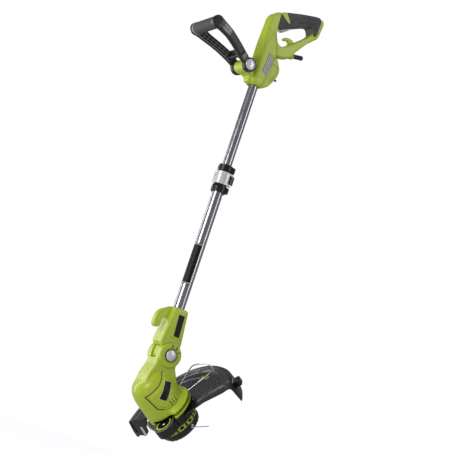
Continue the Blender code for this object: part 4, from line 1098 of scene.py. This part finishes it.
def pole():
    tube_piece("upper_pole", "upper_tube", "rear_handle")
    tube_piece("lower_pole", "lower_tube", "lower_pole")
    band = lathe("pole_label", ring_profile(13.9, 14.16, -553.0, -446.0), start=148.0, sweep=116.0,
                 segments=60)
    show(band, "lower_pole", "black_plastic", finish=BLACK_PRINT)
    edges = [lathe("edge", ring_profile(14.0, 14.22, z, z + 1.6), start=150.0, sweep=112.0, segments=60)
             for z in (-551.0, -449.6)]
    show(merged("pole_label_rules", *edges), "lower_pole", "silver_plastic", finish=WHITE_PRINT)
    marks = []
    for index in range(9):
        z = -212.0 + index * 14.0
        marks.append(lathe("mark", ring_profile(12.0, 12.26, z, z + 0.8), start=222.0, segments=10,
                           sweep=34.0 if index % 4 == 0 else 18.0))
    show(merged("pole_scale", *marks), "rear_handle", "black_plastic", finish=BLACK_PRINT)


def collar():
    body = [(12.5, COLLAR_TOP), (18.2, COLLAR_TOP), (19.5, COLLAR_TOP - 1.4), (19.5, COLLAR_TOP - 16.8),
            (18.6, COLLAR_TOP - 18.4), (16.5, COLLAR_TOP - 19.0), (16.5, COLLAR_LOW + 19.0),
            (18.6, COLLAR_LOW + 18.4), (19.5, COLLAR_LOW + 16.8), (19.5, COLLAR_LOW + 1.4),
            (18.2, COLLAR_LOW), (14.3, COLLAR_LOW), (14.3, -261.7), (12.5, -261.7)]
    whole = lathe("collar_body", body, segments=96)
    ear = block("ear", (9.8, -22.5, COLLAR_LOW + 20.5), (21.0, -12.0, COLLAR_TOP - 20.5), bevel=1.6)
    cut(ear, drill("ear_bore", 15.3, -320, -220))
    boolean(whole, "UNION", ear)
    tools = [drill("pin_hole", 1.9, -300, -240, CLAMP_PIN, segments=32)]
    for low in (COLLAR_TOP - 26.0, COLLAR_LOW + 19.5):
        tools.append(block("cheek", (8.5, -30.0, low), (30.0, -12.8, low + 6.5)))
    cut(whole, *tools)
    lugs = []
    for top, low in ((COLLAR_TOP - 1.5, COLLAR_TOP - 16.5), (COLLAR_LOW + 16.5, COLLAR_LOW + 1.5)):
        outline = rounded([(6, -16), (14, -21.5), (21.5, -14), (17, -4), (10, -8)], 3.0)
        lug = prism("lug", outline, low, top, "XY", bevel=1.6)
        lugs.append(cut(lug, drill("lug_bore", 15.5, low - 5, top + 5)))
    for z in (COLLAR_TOP - 9.0, COLLAR_LOW + 9.0):
        lugs.append(lathe("bead", [(19.3, z - 3.2), (20.0, z - 2.4), (20.0, z + 2.4), (19.3, z + 3.2)]))
    show(merged("clamp_collar_body", whole, *lugs), "lower_pole", "black_plastic", "clamp_collar", sharp=32.0)


def clamp_lever():
    """Silver lever that wraps the collar, with a raised panel and finger ribs."""
    low, high = COLLAR_LOW + 20.0, COLLAR_TOP - 20.0
    shell = lathe("shell", [(19.0, low), (21.4, low), (22.2, low + 0.8), (22.2, high - 0.8), (21.4, high),
                            (19.0, high)], start=-205.0, sweep=133.0, segments=64)
    knuckles = []
    outline = rounded([(-3.6, -3.4), (3.0, -3.6), (3.4, 0), (3.0, 3.0), (-0.5, 3.2), (-8.6, 0.8),
                       (-10.0, -1.7)], 1.2)
    for bottom, top in ((high - 5.0, high - 0.2), (low + 0.2, low + 5.0)):
        knuckles.append(prism("knuckle", outline, bottom, top, "XY", CLAMP_PIN, bevel=0.4))
    boolean(shell, "UNION", *knuckles)
    cut(shell, drill("lever_hole", 1.9, -320, -220, CLAMP_PIN, segments=32))
    details = [shell]
    details.append(lathe("panel", [(21.8, low + 6), (22.7, low + 7), (22.7, high - 7), (21.8, high - 6)],
                         start=-168.0, sweep=60.0, segments=30))
    for index in range(5):
        details.append(lathe("rib", [(21.8, low + 4), (23.0, low + 5), (23.0, high - 5), (21.8, high - 4)],
                             start=-203.0 + index * 5.0, sweep=2.0, segments=2))
    show(merged("clamp_lever_shell", *details), "clamp_lever", "silver_plastic", "clamp_lever", sharp=32.0)


# ---- yoke -----------------------------------------------------------------------
YOKE = [(-21, -616), (15, -616), (18, -622), (27, -698), (26, -716), (-24, -716), (-31, -706),
        (-29, -690), (-24, -650)]
YOKE_HOOK = [(-16, -617), (-30, -621), (-50, -634), (-56, -644), (-59, -656), (-58, -671), (-52, -678),
             (-44, -677), (-40, -671), (-40, -660), (-37, -652), (-30, -647), (-20, -646)]


def yoke():
    block_part = prism("yoke_block", rounded(YOKE, 4.0), -22.5, 22.5, bevel=4.0)
    hook = prism("yoke_hook", rounded(YOKE_HOOK, 6.0), -8.5, 8.5, bevel=3.2)
    whole = moulding("yoke", 1.0, 3, block_part, hook)
    shape = Surface(whole)
    face = rounded([(-14, -621), (12, -621), (20, -690), (-11, -690)], 3.0)
    for side in (-1, 1):
        shape.raise_panel(face, 0.8, 1.4, side)
    shape.write()
    cut(whole, drill("barrel_space", 30.8, -50, 50, PIVOT, "Y"))
    outline = [(26.0 * cos(radians(a)) + PIVOT_X, 26.0 * sin(radians(a)) + TILT_Z)
               for a in range(-200, 21, 8)] + [(22, -694), (-16, -694)]
    boolean(whole, "UNION", prism("tongue", outline, -12.2, 12.2))
    socket = [(0, -688.3), (14.3, -688.3), (14.3, -618.0), (15.6, -616.6), (15.6, -590), (0, -590)]
    spots = [(-14, 22.5, -630), (-18, 22.5, -690), (17, 22.5, -690)]
    cut(whole, lathe("tube_bore", socket), drill("lead_bore", 4.8, -800, -600, segments=32),
        drill("pin_bore", 5.3, -50, 50, PIVOT, "Y", 40), *wells(spots, WELL_DEPTH))
    shells = halves(whole, ("yoke_left_shell", "yoke_right_shell"), "lower_pole", "lime_plastic")
    side_screws("yoke_screws", "lower_pole", spots, WELL_DEPTH)
    label = rounded([(-7, -631), (10, -631), (13, -685), (-3, -685)], 1.2)
    for side, word in ((-1, "left"), (1, "right")):
        patch("yoke_label_" + word, label, shells, PART, "lower_pole", "black_plastic", BLACK_PRINT,
              side=side)


# ---- head -----------------------------------------------------------------------
HEAD_ARM = [(27, -10), (20, -25), (-9, -34), (-25, -60), (-31, -74), (-24, -92), (-60, -96), (-104, -40),
            (-106, -18), (-96, -3), (-70, 7), (-36, 12), (-22, 22), (0, 20)]
HOUSING = [(0, 1), (12, 0.4), (22, -1), (30, -3.6), (35, -6), (40, -10.4), (43, -15), (46, -21.5), (48, -28),
           (50, -37), (51, -46), (52, -58), (52, -70), (53, -86), (59, -91), (65, -94), (66, -98.5),
           (0, -98.5)]
HOUSING_HOLLOW = [(0, -2), (21, -4), (33, -9), (40.5, -17), (45.5, -29), (48.4, -46), (49.4, -70),
                  (49.4, -120), (0, -120)]
FRONT_R = 53.4
HOUSING_COLUMNS = 120
WHEEL_ROOM_R = 29.6
HEAD_WELL_DEPTH = 2.0


def foot_share(degrees):
    """1 where the housing's foot flares, 0 in front where the wheel sits."""
    a = degrees % 360.0
    ends = min(abs(a - 113.0), abs(a - 252.0)) / 6.0
    inside = 113.0 < a < 252.0
    return 0.5 - 0.5 * min(1.0, ends) if inside else 0.5 + 0.5 * min(1.0, ends)


SEAM = [(39, -14), (24, -19), (-1, -24), (-37, -27), (-36, -46), (-34, -68), (-24, -78)]
SEAM_END = [(-24, -78), (-12, -83), (6, -85), (24, -82), (33, -70)]
SHIELD = [(36, -19), (24, -24), (-1, -29), (-32, -32), (-31, -46), (-30, -64), (-20, -75), (0, -79),
          (18, -77), (28, -66), (44, -40), (42, -26)]
HEAD_LABEL = [(22.5, -27.5), (33.5, -43), (-9, -62), (-18, -46.5)]


def drawn_in(radius, column):
    """Radius of the motor housing at one of its columns: its foot is drawn in at the front."""
    slim = min(radius, FRONT_R)
    return slim + (radius - slim) * foot_share(360.0 * column / HOUSING_COLUMNS)


def head_shells():
    housing = lathe("housing", HOUSING, SPOOL, segments=HOUSING_COLUMNS, shape=drawn_in)
    arm = prism("arm", rounded(HEAD_ARM, 7.0), -26.5, 26.5, "XZ", HEAD, 7.0, 5)
    barrel = lathe("barrel", [(0, -31.5), (28.6, -31.5), (30, -30.2), (30, 30.2), (28.6, 31.5), (0, 31.5)],
                   HEAD, "Y")
    whole = moulding("head_housing", 1.1, 5, housing, arm, barrel)
    shape = Surface(whole, SPOOL)
    for side in (-1, 1):
        shape.raise_panel(rounded(SHIELD, 4.0), 1.5, 2.2, side)
        # Painted shade: the seam and the line at its end are painted dark.
        shape.engrave(SEAM, 3.4, 1.7, side, 1.0)
        shape.engrave(SEAM_END, 2.2, 0.9, side, 0.45)
    shape.write()
    hub = Surface(whole, HEAD)
    radius = np.hypot(hub.places[:, 0], hub.places[:, 2])
    for side in (-1, 1):
        hub.push(-0.8 * smoothstep((18.5 - radius) / 1.5) * (side * hub.places[:, 1] > 28.0))
        # Painted shade: a dark ring is painted in the recess round the pivot.
        line = smoothstep(1.6 * (1.0 - np.abs(radius - 17.8) / 1.2)) * (side * hub.places[:, 1] > 28.0)
        hub.groove = np.maximum(hub.groove, 0.5 * line)
    hub.write()
    bore = [(0, -40), (14.4, -40), (14.4, -22), (5.3, -22), (5.3, 29), (0, 29)]
    cut(whole, drill("tongue_slot", 32.5, -12.8, 12.8, HEAD, "Y"),
        lathe("pin_bore", bore, HEAD, "Y", 64), lathe("hollow", HOUSING_HOLLOW, SPOOL),
        drill("wheel_arch", WHEEL_ROOM_R, -120, -97.0, WHEEL, segments=64))
    vents = []
    for x in (-2.0, 6.0, 14.0):
        outline = rounded([(x - 1.0, -84), (x + 1.0, -84), (x + 1.0, -68), (x - 1.0, -68)], 0.9, 3)
        for low, high in ((-80.0, -35.0), (35.0, 80.0)):
            vents.append(prism("vent", outline, low, high, base=SPOOL))
    cut(whole, *vents)
    spots = [(-30, 26.5, -12), (-86, 42.0, -14)]
    cut(whole, *wells(spots, HEAD_WELL_DEPTH, HEAD))
    shells = halves(whole, ("head_left_shell", "head_right_shell"), "head", "lime_plastic")
    side_screws("head_screws", "head", spots, HEAD_WELL_DEPTH, HEAD)
    for side, word in ((-1, "left"), (1, "right")):
        patch("head_label_border_" + word, rounded(grown(HEAD_LABEL, 0.8), 1.4), shells, SPOOL, "head",
              "silver_plastic", WHITE_PRINT, 0.28, side, rings=10)
        patch("head_label_" + word, rounded(HEAD_LABEL, 1.2), shells, SPOOL, "head",
              "black_plastic", BLACK_PRINT, 0.42, side, rings=10)
    numerals()


def numerals():
    """Tilt settings 1 to 3 round the pivot button, as on a dial."""
    made = []
    for text, degrees in (("3", 98.0), ("2", 66.0), ("1", 34.0)):
        data = bpy.data.curves.new("numeral", "FONT")
        data.body = text
        data.size = 10.0 * MM
        data.offset = 0.35 * MM
        data.extrude = 0.25 * MM
        data.align_x = "CENTER"
        data.align_y = "CENTER"
        source = linked("numeral", data)
        mesh = as_shown(source)
        discard(source)
        a = radians(degrees)
        stand = moved(22.6 * cos(a), -31.5, 22.6 * sin(a))
        mesh.transform(PIVOT @ stand @ turned(90.0 - degrees, "Y") @ turned(90.0, "X"))
        made.append(linked("numeral", mesh))
    show(merged("tilt_numerals", *made), "head", "black_plastic", finish=BLACK_PRINT)


def tilt_button():
    cap = [(0, 36.8), (6.0, 36.6), (10.0, 36.1), (12.0, 35.2), (13.2, 34.0), (13.8, 32.0), (13.8, 26.2),
           (10.2, 26.2), (10.2, 30.0), (0, 30.0)]
    show(lathe("tilt_button_cap", cap, HEAD, "-Y"), "tilt_button", "silver_plastic", "tilt_button",
         sharp=30.0)
    rim = [(14.0, 30.2), (15.6, 30.2), (15.6, 31.9), (15.0, 32.2), (14.0, 31.9)]
    show(lathe("tilt_button_ring", rim, HEAD, "-Y"), "head", "black_plastic")
    at = HEAD @ turned(180.0)
    show(coil("tilt_coil", at, "Y", 8.8, 22.3, 25.9, 2.5, 0.6), "head", "steel", "tilt_button_spring")


def foot_band():
    """Lime band that closes the housing's foot, slim in front with room for the wheel."""
    profile = [(51.6, -111.0), (60, -111.0), (65, -109.6), (66, -107.6), (66, -104.8), (51.6, -104.8)]
    flare = lathe("flare", profile, SPOOL, start=-108.0, sweep=218.0, segments=80, bevel=0.6)
    inner = lathe("inner", ring_profile(50.4, 53.4, -111.0, -104.8), SPOOL, bevel=0.5)
    parts = [flare, inner]
    for part in parts:
        cut(part, drill("wheel_room", WHEEL_ROOM_R, -120, -90, WHEEL, segments=64))
    show(merged("foot_band", *parts), "head", "lime_plastic", "lower_band", sharp=32.0)


# ---- guard ----------------------------------------------------------------------
GUARD_CENTRE = (-11.3, -24.0)
GUARD_R = 174.0
GUARD_HUB_R = 57.0
GUARD_NEAR = radians(-57.0)
GUARD_FAR = radians(111.0)


def guard_radius(angle):
    cx, cy = GUARD_CENTRE
    forward = cx * cos(angle) + cy * sin(angle)
    return forward + math.sqrt(GUARD_R ** 2 - cx ** 2 - cy ** 2 + forward ** 2)


def guard_edge_turn(angle, radius):
    near = max(0.0, 1.0 - (angle - GUARD_NEAR) / radians(20.0))
    inward = max(0.0, (159.0 - radius) / 102.0)
    return -radians(40.0) * near * inward ** 4


def guard_share(angle):
    return (angle - GUARD_NEAR) / (GUARD_FAR - GUARD_NEAR)


def guard_drop(share):
    return 4.5 * (1.0 - share) ** 4 - 10.0 * share ** 2


def guard_section(angle):
    """Plate, raised rim and skirt of the guard, with a step near its near end."""
    rim = guard_radius(angle)
    share = guard_share(angle)
    drop = guard_drop(share)
    foot = -155.0 - 10.0 * share
    reach = rim - GUARD_HUB_R
    degrees = math.degrees(angle - GUARD_NEAR)
    step = 1.4 * float(smoothstep((degrees - 9.0) / 2.0) - smoothstep((degrees - 24.0) / 2.0))
    upper = [(0.0, -119.2), (0.35, -119.0), (0.72, -118.6), (0.80, -117.6), (0.88, -115.0), (0.93, -114.0),
             (0.965, -114.3), (0.988, -117.0)]
    lower = [(0.975, -121.2), (0.945, -116.8), (0.88, -117.6), (0.80, -120.2), (0.72, -121.2), (0.35, -121.6),
             (0.0, -121.8)]
    points = [(GUARD_HUB_R + reach * t, z + drop * t + step * min(1.0, t * 3.0))
              for t, z in smooth_path(upper, 3)]
    points += [(rim + 1.2, -121.0 + drop), (rim + 2.0, foot), (rim + 1.2, foot - 0.8), (rim - 0.2, foot)]
    return points + [(GUARD_HUB_R + reach * t, z + drop * t) for t, z in lower]


def guard_ring(angle):
    """The guard's section at an angle, in the spool's frame."""
    return [polar(r, angle + guard_edge_turn(angle, r), z) for r, z in guard_section(angle)]


def guard_plate():
    steps = 112
    angles = [GUARD_NEAR + (GUARD_FAR - GUARD_NEAR) * i / steps for i in range(steps + 1)]
    return loft("guard_plate", [guard_ring(angle) for angle in angles], SPOOL)


def guard_edge_bead():
    """Rounded lip along the guard's near edge."""
    lowered = Vector((0.0, 0.0, 0.6))
    points = [SPOOL @ ((place - lowered) * MM) for place in guard_ring(GUARD_NEAR)[:20]]
    return tube("bead", points, 1.5 * MM)


END_WALL = [(96, -124), (153, -124), (160.6, -140.7), (166, -160), (168, -179), (162.7, -181.3),
            (155.8, -176), (142.5, -178.3), (137.2, -182), (117.5, -169.2), (113.3, -154.4),
            (103.6, -142.4), (96, -139)]
WALL_BLADE = [(124, -149), (131.5, -149), (136.5, -177), (129.5, -179)]


def guard():
    hub = [(52.0, -111.4), (60.4, -111.4), (61.0, -112.0), (61.0, -122.5), (59.0, -124.0), (58.0, -136.0),
           (56.0, -136.0), (56.0, -134.5), (30.0, -134.5), (30.0, -131.8), (54.0, -131.8), (55.0, -120.0)]
    body = lathe("guard_hub", hub, SPOOL, segments=120)
    cut(body, drill("wheel_room", 30, -131.5, -100, WHEEL, segments=64))
    outline = rounded([(-134, -50), (-110, -50), (-84, -56), (-84, -30), (-112, -26), (-134, -26)], 4.0)
    tongue = prism("tongue", outline, -134.5, -131.6, "XY", HEAD, 0.6)
    cut(tongue, drill("shaft_room", 30, -150, -120, SPOOL, segments=64))
    boolean(body, "UNION", tongue)
    cut(body, lathe("axle_room", [(0, -150), (5, -150), (5, -134.6), (2.3, -134.6), (2.3, -120), (0, -120)],
                    WHEEL, segments=32))
    wall_place = SPOOL @ Matrix.Rotation(GUARD_FAR - radians(1.2), 4, "Z")
    wall = prism("wall", rounded(END_WALL, 3.0), -1.5, 1.5, "XZ", wall_place, 0.6)
    ribs = []
    for degrees in (-30.0, 0.0, 30.0, 60.0, 90.0):
        rim = guard_radius(radians(degrees))
        ribs.append(block("rib", (60.0, -0.9, -128.0), (rim - 22.0, 0.9, -121.0),
                          SPOOL @ turned(degrees), 0.3))
    show(merged("guard_body", guard_plate(), guard_edge_bead(), body, wall, *ribs), "head", "black_plastic",
         "guard", sharp=38.0)
    clip_angle = GUARD_NEAR + radians(10.0)
    rim = guard_radius(clip_angle)
    at = SPOOL @ Matrix.Rotation(clip_angle, 4, "Z")
    clip = block("clip", (rim - 2.0, -9.0, -131.0), (rim + 18.0, 9.0, -113.0), at, 2.2)
    cut(clip, block("clip_gap", (rim + 3.5, -5.0, -140.0), (rim + 14.0, 5.0, -126.0), at))
    show(clip, "head", "black_plastic", sharp=38.0)
    seam = block("clip_seam", (rim + 0.2, -9.5, -131.6), (rim + 1.4, 9.5, -112.4), at, 0.3)
    show(seam, "head", "light_grey_plastic")
    blade = prism("wall_blade", WALL_BLADE, 1.3, 2.8, "XZ", wall_place, 0.4)
    show(blade, "head", "steel", finish=BLADE_STEEL)
    screw_places = [polar(64.5, radians(degrees), -119.6) for degrees in (-38.0, 8.0, 96.0)]
    screws("guard_screws", "head", screw_places, (0.0, 0.0, 1.0), SPOOL, 3.0)
    ticks()


def ticks():
    """Plain graduation on the guard: a row of short strokes and a few blocks, with no writing."""
    strokes, blocks_made = [], []
    out = 0.56                   # share of the way from the hub to the rim
    for index in range(15):
        angle = radians(34.0 - index * 3.2)
        radius = GUARD_HUB_R + (guard_radius(angle) - GUARD_HUB_R) * out
        length = 11.0 if index > 9 else 5.0
        top = -118.85 + guard_drop(guard_share(angle)) * out + 0.3
        tick = block("tick", (radius, -1.3, top - 1.2), (radius + length, 1.3, top),
                     SPOOL @ Matrix.Rotation(angle, 4, "Z"))
        (blocks_made if index > 9 else strokes).append(tick)
    show(merged("guard_ticks_white", *strokes), "head", "silver_plastic", finish=WHITE_PRINT)
    show(merged("guard_ticks_lime", *blocks_made), "head", "lime_plastic")


# ---- plant guard wire ------------------------------------------------------------
def plant_guard():
    half = radians(21.0)
    points = [(radius, -half) for radius in (48.2, 60.0, 80.0, 100.0, 120.0)]
    corner = 8
    for i in range(corner + 1):
        pull = 6.0 * abs(2.0 * i / corner - 1.0) ** 6
        points.append((149.0 - pull, (-half + 2.0 * half * i / corner) * 0.93))
    points += [(radius, half) for radius in (120.0, 100.0, 80.0, 60.0, 48.2)]
    route = [Vector((r * cos(a), r * sin(a), -101.6)) for r, a in points]
    profile = [(45.9, -104.3), (52.5, -104.3), (53.3, -103.6), (53.3, -99.6), (52.5, -98.9), (45.9, -98.9)]
    ring = lathe("plant_ring", profile, SPOOL, start=-104.0, sweep=290.0, segments=96)
    show(ring, "plant_guard", "lime_plastic", "plant_guard_ring")
    wire = tube("plant_wire", [SPOOL @ (p * MM) for p in smooth_path(route, 8)], 1.7 * MM, 20)
    show(wire, "plant_guard", "steel", "plant_guard_wire")


# ---- wheel ------------------------------------------------------------------------
TREAD = 100.0                    # stands for the tread's own radius in the wheel's profile


def ribbed(radius, column):
    """Radius of the wheel at one of its columns: six columns to a rib on the tread."""
    height = (0.0, 0.0, 0.25, 1.0, 1.0, 0.25)[column % 6]
    return 26.9 + 1.1 * height if radius == TREAD else radius


def edge_wheel():
    """Ribbed edging wheel with a lime ring let into its face."""
    profile = [(4.6, -130.5), (9.0, -130.5), (10.0, -128.6), (24.0, -128.6), (25.0, -130.5), (26.4, -130.5),
               (TREAD, -129.4), (TREAD, -107.1), (26.4, -106.0), (21.2, -106.0), (20.8, -107.6),
               (16.6, -107.6), (16.2, -106.0), (14.6, -106.0), (13.8, -108.0), (7.4, -108.0),
               (6.8, -106.4), (4.6, -106.4)]
    wheel = lathe("wheel", profile, WHEEL, segments=180, shape=ribbed)
    spokes = [block("spoke", (7.0, -0.8, -109.0), (14.6, 0.8, -106.6), at, 0.2) for at in around(WHEEL, 6)]
    show(merged("wheel_body", wheel, *spokes), "edge_wheel", "black_plastic", "edge_wheel", sharp=30.0)
    ring = [(16.7, -107.8), (20.7, -107.8), (20.7, -105.7), (20.1, -105.3), (17.3, -105.3), (16.7, -105.7)]
    show(lathe("wheel_ring", ring, WHEEL), "edge_wheel", "lime_plastic")
    # Painted highlight: a light grey ring on the wheel's top outer edge, where a bright highlight falls.
    edge = [(25.2, -106.4), (26.9, -107.0), (27.3, -106.2), (26.6, -105.6), (25.4, -105.6)]
    show(lathe("wheel_edge_highlight", edge, WHEEL), "edge_wheel", "black_plastic", finish=RIB_GREY)
    cap = [(0, -106.6), (4.1, -106.6), (4.1, -105.6), (3.2, -104.9), (0, -104.7)]
    rod = [(0, -136.1), (4.5, -136.1), (4.5, -134.9), (2.0, -134.9), (2.0, -131.2), (4.2, -131.2),
           (4.2, -106.4), (0, -106.4)]
    axle = [lathe("axle", profile, WHEEL, segments=48) for profile in (cap, rod)]
    show(merged("wheel_axle_rod", *axle), "head", "steel", "wheel_axle")


# ---- spool ------------------------------------------------------------------------
def spool():
    cover = [(4.3, -140.0), (4.3, -136.5), (50.6, -136.5), (52.0, -137.2), (52.5, -138.2), (52.5, -150.5),
             (50.0, -150.5), (50.0, -139.3), (13.0, -139.3), (13.0, -140.0)]
    housing = lathe("housing", cover, SPOOL, segments=120)
    window = rounded([(-5.0, -148.0), (5.0, -148.0), (5.0, -140.8), (-5.0, -140.8)], 1.0, 3)
    cut(housing, *[prism("window", window, -56.0, -48.0, base=at @ turned(90.0))
                   for at in around(SPOOL, 12, 10.0)])
    show(housing, "spinner", "lime_plastic", "spool_housing", sharp=32.0)
    teeth = [block("tooth", (51.6, -2.6, -150.0), (53.0, 2.6, -139.5), at, 0.4)
             for at in around(SPOOL, 12, 25.0)]
    show(merged("spool_tabs", *teeth), "spinner", "black_plastic")
    outward = polar(1.0, EYELET_ANGLE)
    at_eyelet = SPOOL @ Matrix.Translation((outward * EYELET_R + Vector((0.0, 0.0, EYELET_Z))) * MM)
    at_eyelet = at_eyelet @ pointing(outward)
    cap = [(52.0, -150.8), (52.3, -151.6), (52.1, -158.0), (51.6, -161.5), (50.8, -164.5), (49.4, -167.4),
           (47.5, -170.0), (44.2, -172.4), (40.0, -174.0), (33.0, -175.6), (26.8, -176.5), (26.0, -176.0),
           (26.0, -174.0), (39.0, -171.6), (45.6, -168.0), (48.3, -163.5), (49.5, -158.0), (49.5, -150.8)]
    cover_cap = lathe("cap", cap, SPOOL, segments=120)
    cut(cover_cap, drill("eye_room", 3.6, -10, 10, at_eyelet, segments=32))
    grip = rounded([(47.6, -168.6), (50.2, -163.6), (51.6, -159.0), (51.6, -156.0), (52.9, -156.0),
                    (52.9, -159.6), (51.4, -165.2), (48.8, -170.2)], 0.6, 2)
    grips = [prism("grip", grip, -0.9, 0.9, base=at)
             for index, at in enumerate(around(SPOOL, 24, math.degrees(EYELET_ANGLE))) if index % 6]
    show(merged("spool_cap_shell", cover_cap, *grips), "spinner", "black_plastic", "spool_cap", sharp=32.0)
    eyelet = [(1.4, -3.4), (3.2, -3.4), (3.2, 1.0), (4.0, 1.2), (4.3, 1.8), (4.0, 2.5), (3.0, 2.7),
              (1.9, 2.3), (1.4, 1.4)]
    show(lathe("eyelet_ring", eyelet, at_eyelet, segments=48), "spinner", "steel", "line_eyelet")
    turns = [(17.3, -164.4)]
    for index in range(9):
        z = -163.9 + index * 1.86
        turns += [(36.2, z - 0.5), (37.0, z), (37.0, z + 0.7), (36.2, z + 1.2)]
    turns.append((17.3, -147.3))
    show(lathe("wound_line", turns, SPOOL), "line_spool", "nylon_line", "line_winding", sharp=60.0)
    show(coil("feed_spring", SPOOL, "Z", 10.5, -170.2, -140.5, 6.5, 0.9), "spinner", "steel", "spool_spring")
    knob = [(0, -175.5), (12, -175.5), (12, -170.8), (24.5, -170.8), (24.5, -179.0), (23.6, -181.4),
            (21.5, -183.4), (18.0, -184.9), (12.0, -185.8), (11.0, -186.0), (0, -186.0)]
    rib = [(13.0, -185.0), (21.0, -182.4), (24.0, -179.4), (24.9, -179.4), (24.6, -181.8), (21.8, -184.6),
           (16.0, -186.0), (13.0, -186.0)]
    ribs = [prism("rib", rib, -0.8, 0.8, base=at) for at in around(SPOOL, 12)]
    show(merged("bump_knob_body", lathe("knob", knob, SPOOL), *ribs), "bump_knob", "black_plastic",
         "bump_knob", sharp=32.0)


# ---- floor -------------------------------------------------------------------------
TILT_REACH = 0.10                # metres that the head may hang lower when it tilts


def floor():
    """Pale studio floor, low enough for the extended and tilted pole."""
    bm = bmesh.new()
    level = CAD_LOW.z - JOINTS["pole_telescope"]["range_m"][1] - TILT_REACH
    corners = [(-9.0, -9.0), (9.0, -9.0), (9.0, 9.0), (-9.0, 9.0)]
    bm.faces.new([bm.verts.new((x, y, level)) for x, y in corners])
    ground = new_object("studio_floor", bm)
    m = Nodes("pale_floor")
    m.set(Base_Color=m.mix(m.noise(3.0), (0.86, 0.86, 0.86, 1.0), (0.90, 0.90, 0.90, 1.0)), Roughness=0.7)
    seen = m.add("ShaderNodeLightPath").outputs["Is Camera Ray"]
    m.set(Emission_Color=(1.0, 1.0, 1.0, 1.0), Emission_Strength=m.maths("MULTIPLY", seen, 0.75))
    ground.data.materials.append(m.material)


line_cord()
dress_frame()
rear_shells = handle_shells()
badge(rear_shells)
grip_overmould()
inlet()
trigger()
front_handle()
front_grip()
pole()
collar()
clamp_lever()
yoke()
head_shells()
tilt_button()
foot_band()
guard()
plant_guard()
edge_wheel()
spool()
floor()
